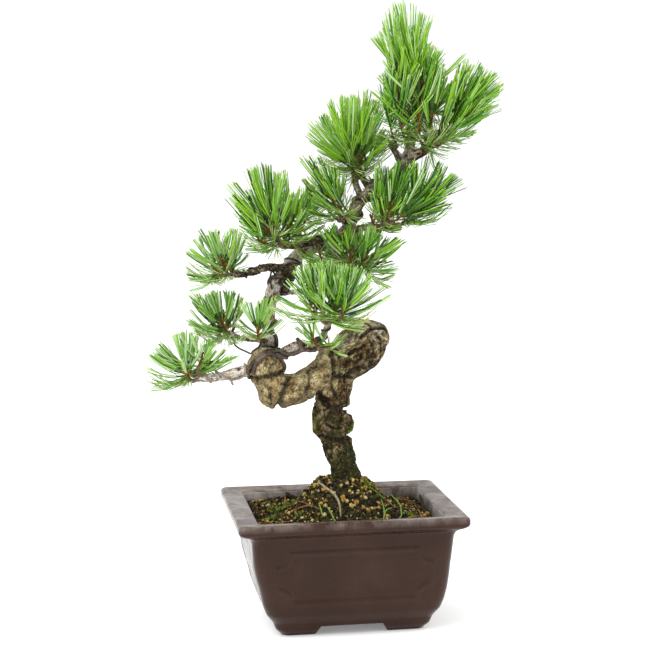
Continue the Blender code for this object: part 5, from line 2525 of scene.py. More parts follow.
THICK_LIMBS = (
    Limb("trunk", (
        (4.6, 0, 88, 15), (4.4, 0, 94, 12.6), (4.0, 0, 98.5, 10.6), (3.6, 0, 101, 9.6), (1.9, 0, 105.3, 9.2),
        (0.7, 0, 110.4, 9.6), (-1.7, 0, 117.6, 10.0), (-2.9, 0, 122.7, 10.4), (-4.2, 0, 127.2, 10.6),
        (-4.7, 0, 130.2, 12.6), (-5.3, 0, 133.8, 14.3), (-7.0, 0, 138.6, 13.7), (-8.2, 0, 143, 11.8),
        (-7.6, 0, 147, 10.6), (-5.4, 0.5, 151.5, 11.4), (-4.5, 1, 157, 11.8), (-3.4, 1.5, 163, 12.3),
        (-1, 2.5, 170, 12.4), (3.6, 3.6, 175.6, 12.4), (9, 4.4, 178.6, 12.6), (15, 5, 182.4, 12.8),
        (19.3, 5.4, 186.8, 12.6), (21.8, 5.8, 190.5, 12.0),
    ), 1.0, 4.4),
    Limb("cap", (
        (3, 3, 183, 9), (5, 3, 188, 10), (10, 3, 191.6, 10.6), (16, 2.6, 195.8, 10.1), (21, 2.2, 196.9, 9.2),
        (25.6, 2.2, 195.8, 8.4), (28.6, 2.6, 193.4, 6.9),
    ), 0.6, 4.4, 0.15),
    Limb("knob", (
        (-48.7, -12, 159.6, 9.3), (-48.6, -12, 162.5, 9.8), (-49.4, -11.5, 167.4, 10.1),
        (-51.2, -10.5, 172.5, 11.3),
        (-52.1, -10, 178, 12.2), (-51.8, -9, 183, 10.6), (-50.5, -7, 188, 7.2), (-49.6, -5.5, 192, 4.8),
    ), 0.5, 3.2, 0.4),
    Limb("low_limb", (
        (-6, 0, 168, 9), (-9.5, -3.5, 176, 8.6), (-13.5, -5, 172.5, 9.4), (-18, -6.5, 169.2, 9.7),
        (-23, -8, 166.2, 9.8), (-30, -10, 162.8, 10.2), (-38, -11.5, 161.4, 10.7), (-44, -12, 161, 10.6),
    ), 0.45, 3.2, 0.45),
    Limb("ridge", (
        (-8, -3, 160, 8), (-8.8, -4, 167, 8.2), (-9.8, -4.2, 175, 8.0), (-10.2, -3.6, 182, 7.0),
        (-9.8, -2.5, 187, 4.4),
    ), 0.5, 3.2, 0.3),
    Limb("leader", (
        (-50, -7, 186, 4.8), (-49.4, -5, 193, 4.7), (-49, -2, 203, 4.3), (-47.5, 3, 218, 4.7),
        (-43, 6, 229, 5.1),
        (-34, 10, 241, 5), (-25, 12, 251, 4.6), (-11, 10, 257.5, 4.2), (3, 7, 264, 4.2), (10, 5, 274, 4),
        (15, 3.5, 286, 3.9), (24, 2, 294.5, 3.8), (36, 0, 303, 3.8), (44, -1, 311, 4.3), (48.5, -2, 319, 3.9),
        (49, -2, 328, 3),
    ), 0.30, 2.4, 0.85),
    Limb("burr", ((-39, 7, 226, 2.6), (-36.5, 3.5, 231, 4.4), (-34.5, 3, 237, 5.0), (-32, 5, 243, 3.6)),
         1.0, 2.6),
)
THIN_LIMBS = (
    Limb("bough_lowest", (
        (-52, -9, 178, 4.6), (-66, -12, 175.8, 4.1), (-74, -14, 174.4, 3.8), (-82, -16, 173.2, 3.2),
        (-90, -18, 172.6, 3.1), (-97, -20, 172.4, 2.4),
    ), 0.25, 2.2, 1.0),
    Limb("bough_low_back", (
        (-49.4, -4.5, 194, 2), (-56, 1, 195, 2), (-66, 8, 195.5, 1.8), (-73, 12, 198, 1.6))),
    Limb("bough_low_front", ((-49.4, -4.5, 194.5, 1.9), (-53, -10, 195.5, 1.8), (-57, -15, 199, 1.5))),
    Limb("bough_left", ((-34, 10, 242, 2.9), (-51, 4, 243, 2.6), (-65, 0, 239.5, 2.3),
                        (-73, -3, 239.5, 1.9))),
    Limb("bough_high_left", (
        (1, 7.5, 263, 3), (-13, 1, 261.5, 2.9), (-27, -4, 258.5, 2.7), (-39, -9, 258.5, 2.3))),
    Limb("bough_right_low", (
        (-49, -10, 183, 3.8), (-41, -14, 187.0, 4.0), (-30, -18, 191.6, 4.2), (-20, -22, 192.0, 3.3)),
        0.35, 2.4, 0.0),
    Limb("bough_right_high", (
        (-22, -21.5, 192.5, 2.7), (-16.5, -24.5, 196.5, 2.5), (-14.5, -27, 202, 2.3), (-11, -31, 211, 1.9))),
    Limb("bough_middle", ((4, 6.5, 265, 2.7), (8, -5, 256, 2.4), (9, -16, 245, 1.9))),
    Limb("bough_upper_left", ((9.5, 5, 273, 2.4), (4, -5, 274, 2.2), (0, -12, 280, 1.8))),
    Limb("bough_upper", ((16.5, 3.4, 287.5, 2.6), (13.5, 8, 298, 2.4), (11.5, 10, 310, 1.9))),
    Limb("bough_upper_right", ((22, 2.4, 293, 2.6), (26.5, -8, 285, 2.4), (29, -16, 277, 1.9))),
    Limb("bough_top_right", ((47.5, -2, 316, 3.3), (53.5, -6, 318, 3.1), (60, -9, 322, 2.6),
                             (66, -10, 332, 2.2))),
    Limb("bough_top_left", ((44.5, -1, 311.5, 2.7), (41, 3, 318, 2.4), (37.5, 6, 324, 1.9))),
    Limb("stub_right", ((4, 6.5, 265, 2.8), (20, 11, 268.5, 2.5), (32, 13, 268.5, 2.5),
                        (44, 14, 267.5, 2.3))),
    Limb("bough_back_low", ((-43, 5, 226, 2.6), (-34, 17, 225, 2.3), (-18, 29, 224, 1.9))),
    Limb("bough_back_left", ((-25, 12, 251, 2.8), (-24, 24, 258, 2.4), (-22, 35, 267, 1.9))),
    Limb("bough_back_middle", ((-6, 9, 260, 2.6), (2, 22, 251, 2.3), (8, 33, 245, 1.9))),
    Limb("bough_back_right", ((29, 1.2, 298, 2.8), (37, 16, 290, 2.4), (44, 29, 281, 1.9))),
    Limb("bough_back_upper", ((24, 2, 294.5, 2.8), (21, 22, 301, 2.4), (18, 38, 316, 1.9))),
    Limb("bough_back_top", ((48.2, -2, 318, 3), (54, 14, 327, 2.5), (60, 29, 341, 1.9))),
)
SCARS = (
    Scar(((-13.5, -6, 128), (-7, -10, 126.8), (0.1, -9, 126.5), (4.5, -6, 128.1), (6, 2, 128.6), (0, 9, 128),
          (-9, 9, 127.6), (-14, 3, 128), (-13.5, -6, 128)), 1.6, 2.8),
    Scar(((-18, 4, 160), (-16.5, -6, 158.5), (-11.3, -11, 152.3), (-7.1, -11, 148.6), (-0.7, -10, 147.2),
          (4.0, -6, 145.2), (4.5, 3, 144.8)), 2.0, 3.2),
    Scar(((-5.5, -12, 190), (-5.6, -12, 182), (-5.6, -12, 174), (-5.8, -12, 170)), 1.9, 3.8),
    Scar(((-5.8, -11, 170), (0.5, -12, 169.3), (7.7, -11, 172.6), (11.5, -9, 174.5)), 1.8, 3.0),
    Scar(((13.0, -9, 195.6), (17.5, -8, 199.2), (21, -7, 201.3), (28.8, -3, 201.2), (32, 3, 199)), 1.2, 3.2),
    Scar(((4.8, -10, 184.0), (8.7, -10, 186.4), (12.2, -10, 187.7), (15.8, -10, 189.7)), 0.9, 2.4),
    Scar(((19.3, -8, 193.4), (22.6, -7, 186.4)), 0.7, 1.5),
    Scar(((9.5, -9, 178), (12.5, -9, 180.5), (13.5, -9, 184.5)), 0.7, 1.3),
    Scar(((24, -7, 197), (27.5, -5, 192), (27.8, -5, 185)), 0.9, 1.6),
    Scar(((4.6, -7, 125.3), (6.6, -7, 119.5)), 0.8, 1.6),
    Scar(((-18.2, -6, 148.8), (-18.6, -7, 141), (-17.2, -7, 134.5)), 1.0, 2.2),
    Scar(((0, -12, 144), (-2.5, -12.5, 139), (-3.5, -12.5, 134)), 1.1, 1.8),
    Scar(((-12, -10, 137.5), (-7, -12, 135.4), (-1, -12, 134.6)), 0.9, 1.4),
    Scar(((-8, -10, 168), (-6.6, -12, 160), (-2.5, -12, 153)), 1.3, 2.0),
    Scar(((-37.4, -14, 171.6), (-39, -20, 168.5), (-41.6, -20, 162.5), (-43.8, -16, 155), (-44.8, -10, 150.8),
          (-44, 3, 151)), 1.7, 2.6),
    Scar(((-24.5, -8, 175.5), (-23.5, -12, 170), (-25.5, -12, 161)), 1.3, 1.0),
    Scar(((-63.2, -8, 172.6), (-58.9, -14, 171.0), (-54.7, -16, 172.4), (-47.8, -16, 173.4),
          (-41.0, -10, 174.6)), 1.6, 1.8),
    Scar(((-52.5, -16, 166), (-50.6, -16, 159), (-49.4, -14, 153.5)), 0.9, 0.9),
)
# Dark spots on the bark: mostly painted shade in the creases, under the low limb and in the tangle by the
# leader, and darker bark up the leader.
SHADES = (
    (2, -10, 153, 8, 0.75), (-6, -9, 153, 8, 0.65), (-2, -11, 171, 5, 0.6), (13, -6, 171, 9, 0.65),
    (4, -9, 95, 11, 1.0), (7, -8, 106, 8, 0.6), (5, -9, 138, 6, 0.5), (-8, -9, 132, 8, 0.35),
    (6, -8, 183, 7, 0.2), (-52, -18, 190, 6, 0.35), (-2, -9, 116, 10, 0.2), (-40, 0, 238, 9, 0.5),
    (-28, -14, 160, 9, 0.2), (-50, -20, 160, 8, 0.15), (-4, -11, 147, 8, 0.5), (0, -8, 177, 8, 0.5),
    (6, -7, 188, 7, 0.4), (-34, -1, 235, 8, 1.1), (-34, 3, 243, 6, 0.9), (-37, 0, 228, 5, 0.8),
    (-8, 6, 257, 9, 0.4), (3, 3, 264, 8, 0.5), (10, 1, 274, 9, 0.55), (16, 0, 286, 9, 0.55),
    (24, -2, 294, 10, 0.6), (36, -4, 303, 10, 0.6), (45, -5, 313, 10, 0.65), (49, -5, 323, 8, 0.6),
)
MASSES = (
    NeedleMass("needles_lowest", ("bough_lowest",), 31, (
        Shoot((-103, -18, 172), (-108, -22, 182), 9),
        Shoot((-98, -22, 181), (-95, -26, 191), 8),
        Shoot((-96, -10, 177), (-89, -12, 183), 8, reach=22),
        Shoot((-101, -8, 173), (-104, -4, 183), 6),
    ), (
        (-129, -22, 192), (-125, -22, 195), (-120, -22, 197), (-112, -4, 202), (-106, -4, 204),
        (-132, -22, 182),
        (-129, -22, 169), (-131, -22, 165), (-102, -4, 203), (-90, -26, 195), (-87, -12, 193),
        (-84, -12, 186),
        (-73, -12, 189), (-70, -12, 187), (-77, -12, 187), (-79, -12, 190), (-74, -14, 184),
        (-118, -20, 196),
    ), (
        (-132, -24, 182), (-129, -24, 169), (-131, -24, 165), (-126, -24, 167), (-123, -24, 171),
        (-112, -24, 168), (-106, -24, 166),
    ), 0, 0.9, 0.55),
    NeedleMass("needles_low_back", ("bough_low_back",), 30, (
        Shoot((-74, 12, 198), (-80, 10, 209), 8),
        Shoot((-76, 18, 195), (-87, 20, 200), 5),
        Shoot((-72, 22, 196), (-68, 24, 208), 6),
    ), (
        (-98, 10, 224), (-92, 10, 225), (-87, 10, 225), (-75, 24, 227), (-68, 24, 226), (-62, 24, 221),
        (-100, 20, 207), (-99, 20, 201), (-93, 20, 189),
        (-102, 20, 210), (-99, 12, 226), (-72, 24, 228),
    ), (
        (-101, 8, 208), (-100, 8, 201), (-97, 8, 194), (-90, 8, 192), (-85, 8, 193),
        (-97, 8, 198), (-85, 8, 190), (-78, 8, 188), (-72, 8, 190), (-66, 6, 190), (-60, 4, 192),
        (-90, 8, 188), (-72, 0, 186), (-66, 0, 187), (-62, 0, 189), (-78, 0, 186), (-70, 0, 183),
        (-82, 6, 192), (-75, 4, 193), (-68, 4, 194),
    ), 2, 0.9, 0.55),
    NeedleMass("needles_low_front", ("bough_low_front",), 27, (
        Shoot((-57, -16, 197), (-58, -18, 207), 7, old=3),
    ), (
        (-68, -18, 222), (-62, -18, 222), (-57, -18, 222), (-51, -18, 225), (-48, -18, 225), (-42, -18, 212),
        (-69, -18, 212),
    ), (
        (-70, -20, 212), (-42, -20, 212), (-67, -20, 201)
    ), 0, 0.8, 0.55),
    NeedleMass("needles_left", ("bough_left",), 32, (
        Shoot((-75, -4, 240), (-80, -6, 252), 8),
        Shoot((-73, 0, 240), (-70, 4, 251), 8),
        Shoot((-76, -8, 240), (-85, -14, 244), 6),
        Shoot((-72, 4, 240), (-75, 12, 247), 6),
    ), (
        (-105, -14, 242), (-101, -14, 260), (-91, 12, 268), (-84, 12, 268), (-75, 12, 271), (-70, 4, 271),
        (-64, 4, 268), (-62, 4, 255), (-104, -14, 237), (-103, -14, 231),
        (-66, 4, 256),
    ), (
        (-105, -12, 242), (-105, -12, 237), (-103, -12, 247), (-102, -12, 232), (-95, -12, 230),
        (-87, -12, 230),
        (-80, -12, 232), (-74, -12, 233), (-84, -12, 230), (-92, -12, 229),
    ), 1, 1.0, 0.55),
    NeedleMass("needles_high_left", ("bough_high_left",), 40, (
        Shoot((-42, -12, 261), (-53, -14, 276), 9),
        Shoot((-42, -14, 261), (-46, -18, 280), 9),
        Shoot((-38, -8, 262), (-32, -10, 278), 8),
        Shoot((-35, -4, 262), (-23, -4, 274), 8),
        Shoot((-44, -16, 259), (-57, -20, 264), 5, old=9),
        Shoot((-37, 0, 261), (-37, 6, 278), 7),
    ), (
        (-75, -14, 293), (-74, -14, 302), (-70, -14, 304), (-61, -18, 311), (-57, -18, 312), (-51, -18, 313),
        (-49, -18, 313), (-40, 6, 307), (-34, 6, 306), (-31, -10, 295), (-27, -10, 294), (-24, -10, 297),
        (-16, -10, 293), (-9, -4, 272), (-12, -4, 278), (-68, -20, 274), (-65, -20, 263), (-66, -20, 254),
        (-68, -14, 284), (-70, -16, 288), (-66, -14, 281),
    ), (
        (-68, -22, 274), (-67, -22, 264), (-65, -22, 257), (-61, -22, 253), (-55, -22, 252),
        (-14, -22, 275), (-12, -22, 270), (-17, -22, 266), (-23, -22, 264),
        (-37, -20, 254), (-44, -20, 253), (-30, -20, 256),
    ), 1, 0.9, 0.2),
    NeedleMass("needles_front", ("bough_right_high",), 37, (
        Shoot((-10, -38, 211), (-9, -40, 224), 9),
        Shoot((-18, -42, 211), (-26, -44, 224), 9),
        Shoot((-7, -36, 211), (2, -36, 222), 8),
        Shoot((-14, -44, 211), (-20, -48, 225), 8),
        Shoot((-11, -28, 210), (-9, -20, 224), 7),
        Shoot((-6, -42, 212), (-4, -48, 222), 7, old=8),
    ), (
        (-35, -48, 249), (-23, -50, 251), (-6, -20, 248), (0, -40, 248), (9, -48, 246), (22, -36, 227),
        (29, -36, 229), (14, -36, 216), (-35, -44, 239), (-49, -44, 230), (-53, -48, 224), (-28, -50, 213),
        (10, -36, 202), (11, -36, 206),
        (12, -36, 232), (14, -40, 228), (16, -40, 234),
    ), (
        (-49, -46, 231), (-52, -46, 224), (-49, -46, 217), (-36, -46, 212), (-27, -46, 209), (8, -46, 203),
        (13, -46, 213), (18, -46, 218), (9, -46, 207), (1, -46, 208)
    ), 0, 0.8, 0.35),
    NeedleMass("needles_right_low", ("bough_right_low",), 20, (
        Shoot((-19, -30, 192), (-24, -32, 202), 5, old=2),
        Shoot((-14, -28, 192), (-7, -32, 196), 2, old=3),
    ), (
        (-34, -32, 207), (-32, -32, 211), (-25, -32, 208), (-21, -32, 211), (-4, -32, 198), (0, -32, 201),
        (0, -32, 186),
        (-30, -32, 199), (-27, -32, 197),
    ), (
        (-1, -34, 187),
        (-5, -34, 200), (-3, -34, 196), (-9, -34, 193), (-8, -34, 203), (-12, -34, 190),
    ), 0, 0.8, 0.55),
    NeedleMass("needles_middle", ("bough_middle",), 34, (
        Shoot((10, -16, 242), (17, -18, 256), 9),
        Shoot((6, -18, 243), (4, -22, 259), 9),
        Shoot((-14, -20, 248), (-17, -22, 259), 6, reach=26),
        Shoot((14, -12, 240), (25, -10, 246), 6, old=8),
        Shoot((3, -8, 243), (-2, -4, 257), 8),
        Shoot((11, -8, 242), (18, 2, 255), 8),
    ), (
        (5, -22, 271), (16, 2, 270), (38, -10, 264), (43, -10, 263), (33, -10, 247), (37, -10, 246),
        (37, -10, 238), (34, -10, 227), (-27, -4, 253), (-23, -4, 255), (-18, -4, 259), (-12, -4, 269),
        (-2, -22, 268),
        (28, -10, 266), (24, -10, 268),
    ), (
        (33, -14, 229), (36, -14, 238), (34, -14, 232), (-29, -14, 254), (-26, -14, 248)
    ), 0, 0.7),
    NeedleMass("needles_upper_left", ("bough_upper_left",), 36, (
        Shoot((-1, -18, 277), (-7, -20, 292), 9),
        Shoot((-1, -20, 277), (-2, -24, 293), 8),
        Shoot((-2, -14, 275), (-11, -12, 285), 7),
        Shoot((1, -24, 278), (5, -30, 288), 4, old=7),
        Shoot((1, -12, 276), (-1, -4, 291), 7),
    ), (
        (-27, -12, 317), (-22, -20, 318), (-16, -20, 318), (-7, -4, 310), (-4, -24, 309), (0, -24, 307),
        (-16, -12, 294), (-19, -12, 290),
        (-24, -20, 317),
    ), (
        (-25, -26, 290), (-28, -26, 286), (-22, -26, 280), (8, -26, 282), (10, -26, 286), (4, -26, 272)
    ), 0, 0.6, fresh=-0.08),
    NeedleMass("needles_upper", ("bough_upper",), 42, (
        Shoot((13, 10, 304), (6, 8, 319), 10),
        Shoot((13, 8, 304), (10, 4, 323), 10),
        Shoot((15, 10, 304), (18, 8, 323), 10),
        Shoot((16, 12, 302), (24, 10, 314), 5, old=8),
        Shoot((15, 16, 303), (16, 24, 322), 9),
    ), (
        (-18, 8, 341), (-13, 8, 341), (-9, 8, 342), (-5, 8, 343), (-4, 8, 356), (3, 4, 359), (14, 24, 359),
        (18, 24, 358), (19, 8, 362), (22, 8, 362), (24, 8, 359), (28, 8, 355), (35, 8, 357), (33, 10, 336),
        (35, 10, 331), (38, 10, 325),
        (-20, 8, 334), (-18, 8, 330),
    ), (
        (31, -2, 336), (33, -2, 331), (36, -2, 325), (31, -2, 321), (24, -2, 317), (-14, -2, 315),
        (-11, -2, 310),
        (2, -2, 300), (6, 0, 296), (9, 0, 290), (-2, -2, 304),
    ), 0, 0.4, 0.22, fresh=0.4),
    NeedleMass("needles_upper_right", ("bough_upper_right",), 36, (
        Shoot((27, -20, 273), (25, -20, 286), 8),
        Shoot((26, -22, 273), (31, -26, 287), 9),
        Shoot((27, -24, 272), (39, -30, 279), 8),
        Shoot((41, -18, 273), (52, -18, 288), 10),
        Shoot((45, -14, 273), (60, -12, 282), 9),
        Shoot((30, -12, 273), (39, -4, 285), 8),
        Shoot((24, -14, 268), (19, -16, 279), 6, reach=20),
    ), (
        (22, -20, 311), (26, -20, 314), (31, -20, 308), (36, -26, 302), (51, -4, 307), (52, -30, 298),
        (60, -4, 317), (66, -18, 314), (70, -18, 311), (80, -12, 304), (83, -12, 301), (78, -12, 296),
        (72, -30, 286), (69, -30, 287), (20, -20, 296), (16, -20, 295), (37, -30, 269),
        (78, -12, 305),
    ), (
        (69, -30, 287), (72, -30, 286), (67, -30, 281), (61, -30, 275), (53, -30, 271), (37, -30, 269),
        (14, -30, 295), (19, -30, 296),
        (44, -30, 270), (50, -30, 271), (40, -30, 269),
    ), 0, 0.75, fresh=-0.15),
    NeedleMass("needles_apex", ("leader", "bough_top_left"), 42, (
        # The shoots with fresh=-0.4 sit low in the apex; their deeper green is painted shade under its top.
        Shoot((41, 2, 324), (36, 2, 340), 9, old=9, fresh=-0.4),
        Shoot((47, -4, 323), (41, -6, 352), 14, old=10, fresh=-0.4),
        Shoot((51, -2, 347), (51, 0, 377), 18, old=2),
        Shoot((52, -6, 346), (56, -8, 367), 12, old=2),
        Shoot((45, -4, 346), (40, -6, 371), 12, old=2),
        Shoot((56, -10, 323), (52, -14, 346), 12, old=12, fresh=-0.4),
        Shoot((57, -8, 323), (63, -10, 345), 12, old=12, fresh=-0.4),
        Shoot((49, 4, 338), (48, 12, 362), 10),
        Shoot((56, 4, 337), (61, 10, 360), 10),
    ), (
        (37, -6, 418), (39, -6, 419), (45, 0, 419), (52, 0, 419), (58, 0, 413), (62, -8, 410), (31, -6, 408),
        (24, -6, 397), (65, -8, 392), (71, -8, 387), (23, 2, 361), (86, -8, 384), (73, 2, 326),
        (34, -6, 412), (33, -6, 403), (42, -4, 420),
    ), (
        (22, -8, 338), (23, -8, 332),
        (26, -10, 334), (30, -10, 326), (36, -14, 324), (42, -16, 322), (48, -16, 324), (54, -16, 322),
        (30, -10, 340), (60, -16, 326), (38, -14, 330),
    ), 1, 0.28, 0.2, fresh=0.27),
    NeedleMass("needles_top_right", ("bough_top_right",), 40, (
        Shoot((60, -10, 324), (72, -12, 345), 13, old=11),
        Shoot((61, -10, 323), (82, -12, 350), 14, old=11),
        Shoot((68, -8, 327), (87, -8, 342), 12),
        Shoot((58, -12, 321), (70, -18, 327), 5, old=9),
        Shoot((66, -2, 326), (83, 6, 346), 11),
    ), (
        (91, -12, 377), (100, 6, 379), (105, 6, 373), (108, -8, 371), (112, -8, 365), (109, -8, 351),
        (92, -18, 334),
        (82, -10, 379), (86, -10, 382), (88, -12, 378), (108, -8, 366), (106, -4, 368),
    ), (
        (92, -18, 334), (88, -18, 330), (82, -18, 326), (74, -18, 323), (69, -18, 324),
        (66, -20, 322), (60, -20, 322),
    ), 0, 0.55),
    NeedleMass("needles_back_low", ("bough_back_low",), 30, extra=4),
    NeedleMass("needles_back_left", ("bough_back_left",), 32, extra=5),
    NeedleMass("needles_back_middle", ("bough_back_middle",), 30, extra=4),
    NeedleMass("needles_back_right", ("bough_back_right",), 31, extra=4),
    NeedleMass("needles_back_upper", ("bough_back_upper",), 34, extra=5),
    NeedleMass("needles_back_top", ("bough_back_top",), 34, extra=5),
)
GAPS = (
    (-32, 299, 5.5), (-62, 299, 3.5), (-22, 307, 4), (-9, 341, 4.5), (1, 349, 3.5), (27, 379, 7),
    (25, 364, 5),
    (66, 393, 6), (78, 376, 4.5), (75, 386, 5), (54, 408, 2.2), (65, 319, 3), (34, 309, 3), (73, 290, 4),
    (72, 283, 3.5),
    (-82, 179.5, 4.5), (-75, 180.5, 3.0), (-125, 182, 3), (-125, 165, 2.5), (-114, 198, 3.5), (-97, 215, 4),
    (-80, 269, 3), (-62, 245, 3), (27, 220, 5), (20, 214, 4), (-32, 227, 4),
)
STOREYS = {
    "needles_low_storey": ("needles_lowest", "needles_low_back", "needles_low_front", "needles_left"),
    "needles_middle_storey": ("needles_high_left", "needles_front", "needles_right_low", "needles_middle"),
    "needles_high_storey": ("needles_upper_left", "needles_upper", "needles_upper_right"),
    "needles_top_storey": ("needles_apex", "needles_top_right"),
    "needles_behind": ("needles_back_low", "needles_back_left", "needles_back_middle", "needles_back_right",
                       "needles_back_upper", "needles_back_top"),
}
THICK_WIRE = Wire("wire_thick", 1.35, (
    ((-61.5, -6, 171.5), (-64.2, -13, 173.5), (-64.4, -17, 177.9), (-62.2, -19, 182.6), (-59.4, -20, 186),
     (-55.2, -19, 188.6), (-50.4, -17, 189.8), (-44.2, -17, 189.3), (-39.4, -18, 187.8), (-34.5, -21, 187.3),
     (-30.5, -23, 189), (-29, -24, 193), (-31, -20, 197)),
    ((-60.5, -18, 176), (-60, -20, 181.5), (-56.5, -20.5, 185.5), (-51, -19, 187.6), (-45, -18, 187),
     (-39, -18, 184.8)),
    ((-31.3, -17, 198.5), (-31, -22, 196.5), (-29.6, -24.5, 191.5), (-25.1, -26, 189.2), (-20.5, -25, 190.2),
     (-19, -22, 195.8)),
    ((-50, -18, 188.5), (-46.2, -19, 187.5), (-42.8, -18, 184.6), (-41.1, -16, 180.4), (-41.2, -13, 175.5)),
    ((-51.5, -8, 206.5), (-48.6, -8, 202), (-45.2, -7, 197.8), (-45, -6, 191.5)),
    ((38, 2, 322), (38.5, -5, 319), (40, -6, 312), (41, -5, 306), (42, 1, 301)),
), (
    ("leader", 0.09, 0.32, 2.4, 150.0),
    ("leader", 0.60, 0.82, 2.6, 40.0),
))
THIN_WIRE = Wire("wire_thin", 0.62, (
    ((-65.5, 1, 245), (-65, -3, 245), (-63, -4, 242), (-60, -3.5, 238.5), (-56.5, 0, 236), (-54.5, 4, 238),
     (-53.5, 4, 243), (-52, 0.5, 245.5), (-49, 0, 244.5), (-46, 1, 241), (-42, 4, 237), (-39, 6, 235)),
    ((-37, 3, 246), (-41, 1, 243), (-46, -1, 239), (-47.5, -2, 235), (-46.5, -1, 230)),
    ((-74, 8, 195), (-70, 2, 190.5), (-65.9, -6, 188.7), (-61.7, -8, 188.6), (-58.2, -10, 190.9),
     (-55.4, -11, 194.3)),
    ((-54.5, -12, 192), (-50, -13, 192.5), (-45.1, -12, 192.1), (-42.4, -12, 189.9)),
), (
    ("bough_left", 0.45, 0.98, 2.2, 0.0),
    ("bough_high_left", 0.1, 0.7, 3.2, 60.0),
    ("leader", 0.36, 0.58, 3.4, 200.0),
    ("leader", 0.30, 0.52, 4.3, 60.0),
    ("burr", 0.15, 0.85, 3.2, 20.0),
    ("bough_right_high", 0.1, 0.8, 2.4, 20.0),
))
PALE_WIRE = Wire("wire_pale", 0.8, (
    ((-94, -20, 176.5), (-92.5, -22, 174), (-90, -20, 170.5)),
    ((-86, -16, 177.5), (-84, -20.5, 177), (-80, -21, 173), (-76, -19.5, 169.5), (-71, -17, 170.5),
     (-67, -16, 174), (-66, -12, 179)),
    ((-77, -19, 171), (-75.8, -19.5, 168.6), (-74.8, -19.5, 166.8)),
))


STRANDS = (
    Strand(((-17, -5, 1.2), (-13, -14, 1.2), (-8.5, -19.5, 1.4), (-5.5, -24.5, 1.3), (-5.5, -31, 0.4)),
           0.95, 0),
    Strand(((-43, -5, 1.0), (-36, -6, 1.4), (-26, -14, 1.6), (-18, -23, 1.0)), 0.6, 1),
    Strand(((-33, 11, 2.4), (-29, -4, 1.6), (-23, -18, 1.2)), 0.55, 1),
    Strand(((-36, 28, 4.5), (-35, 24, 1.0)), 0.5, 3),
    Strand(((-34, 32, 6.0), (-31, 30, 3.5), (-26, 28, 1.5)), 1.6, 2),
    Strand(((-40, 30, 1.5), (-33, 33, 3.0), (-27, 34, 1.0)), 1.2, 2),
    Strand(((57, 12, 9.0), (57, 4, 6.0), (56, -6, 1.0)), 1.3, 2),
    Strand(((52, 20, 1.0), (56, 14, 2.6), (58, 8, 5.0)), 1.0, 2),
    Strand(((38, 30, 1.2), (48, 28, 2.0), (56, 20, 1.4)), 0.5, 1),
    Strand(((54, 17, 1.0), (53, -5, 1.4), (51, -27, 0.8)), 0.45, 3),
    Strand(((37, -29, 0.8), (45, -23, 1.4), (52, -17, 0.8)), 0.45, 3),
    Strand(((23, -33, 0.2), (25, -25, 3.4), (24, -20, 7.0)), 0.42, 4),
    Strand(((24, -30, 0.2), (26, -26, 4.0), (31, -22, 5.4)), 0.42, 4),
    Strand(((39, -14, 0.2), (39, -8, 4.5), (34, -2, 7.5)), 0.42, 4),
    Strand(((33, -31, 0.2), (37, -24, 2.0), (38, -16, 3.4)), 0.36, 4),
    Strand(((-17, -28, 0.2), (-18, -24, 3.0), (-19, -22, 5.0)), 0.5, 4),
    Strand(((-10, -34, 0.2), (-12, -30, 3.4), (-14, -27, 5.2)), 0.5, 4),
    Strand(((18, -11, 1.0), (27, -9, 1.6), (31, -6, 0.8)), 0.4, 4),
)
MOSS_SPOTS = (
    (-47, 10, 3.4, 130), (-42, 5, 3.6, 150), (-37, 11, 3.0, 110), (-33, 6, 2.4, 70), (-32, -17, 2.6, 80),
    (-50, -10, 4.0, 110), (44, -20, 4.0, 80), (-20, 30, 6.0, 150), (30, 34, 6.0, 150), (8, 32, 5.0, 110),
    (16, -12, 4.0, 90), (-14, 14, 4.0, 90),
)


def write_size(cad_box: tuple[Vector, Vector]) -> None:
    """Puts the frame's box and the finished model's box side by side, without keeping or writing them.

    Args:
        cad_box: The lowest and highest corner straight after the frame was loaded.
    """
    boxes = {"cad": cad_box, "visual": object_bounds()}
    {name: [list(corner) for corner in box] for name, box in boxes.items()}


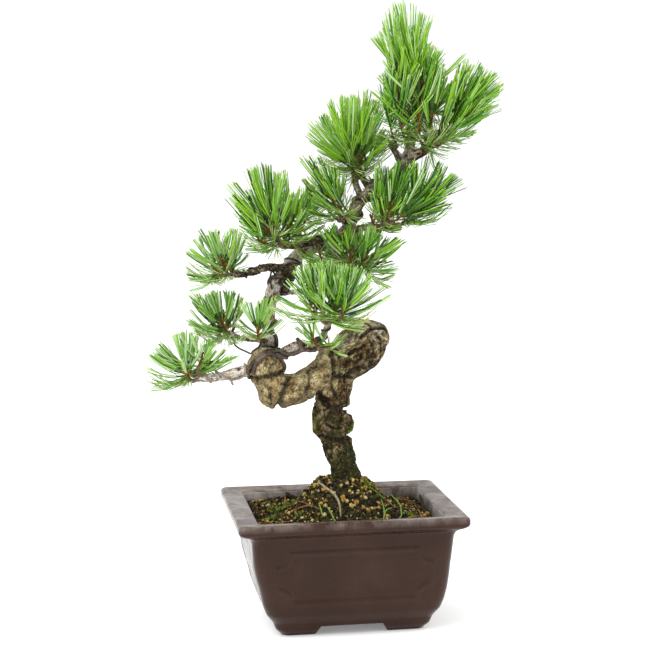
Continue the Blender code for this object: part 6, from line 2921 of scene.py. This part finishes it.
def main() -> None:
    """Builds the looks in order, from the wood to the light."""
    logging.basicConfig(level=logging.INFO, format="%(message)s")
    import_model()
    cad_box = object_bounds()
    low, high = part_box("pot")
    origin = np.array([(low.x + high.x) / 2, (low.y + high.y) / 2, low.z])
    camera = Camera()
    camera.build(origin)
    skin = BarkSkin(origin, THICK_LIMBS, THIN_LIMBS, SCARS, SHADES)
    trunk = skin.build_thick()
    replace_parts(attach(trunk, BODY), "trunk", "knob", "low_limb", "leader")
    LOG.info("bark_trunk: %d faces", len(trunk.data.polygons))
    boughs = skin.build_thin()
    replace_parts(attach(boughs, BODY), *(limb.name for limb in THIN_LIMBS))
    LOG.info("bark_boughs: %d faces", len(boughs.data.polygons))
    limbs = {limb.name: limb for limb in THICK_LIMBS + THIN_LIMBS}
    Crown(origin, MASSES, STOREYS, limbs, np.array(camera.axes()[:2]), GAPS).build()
    wood = Wood([trunk, boughs], origin)
    bronze = WireFinish("wire_bronze", srgb(58, 46, 36), srgb(132, 116, 98), roughness=0.36, metallic=0.3)
    black = WireFinish("wire_black", srgb(34, 28, 26), srgb(74, 62, 56), roughness=0.5, metallic=0.2)
    pale = WireFinish("wire_taupe", srgb(126, 110, 100), srgb(176, 160, 148), roughness=0.45, metallic=0.2)
    for wire, finish in ((THICK_WIRE, bronze), (THIN_WIRE, black), (PALE_WIRE, pale)):
        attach(wire.build(finish, wood, limbs), BODY)
        LOG.info("%s: made", wire.name)
    pot = Pot(origin).build()
    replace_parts(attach(pot, BODY), "pot")
    LOG.info("pot_shell: %d faces", len(pot.data.polygons))
    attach(Pits(origin).build(pot), BODY)
    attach(TrunkMoss(origin).build(trunk), BODY)
    soil = Soil(origin)
    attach(Litter(origin, STRANDS, MOSS_SPOTS).build(soil), BODY)
    LOG.info("clay_pits, trunk_moss and litter: made")
    bed = soil.build_bed()
    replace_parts(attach(bed, BODY), "soil")
    grains = soil.build_grains()
    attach(grains, BODY)
    LOG.info("soil_bed and soil_grains: %d faces", len(bed.data.polygons) + len(grains.data.polygons))
    Studio().build()
    write_size(cad_box)


if __name__ == "__main__":
    main()
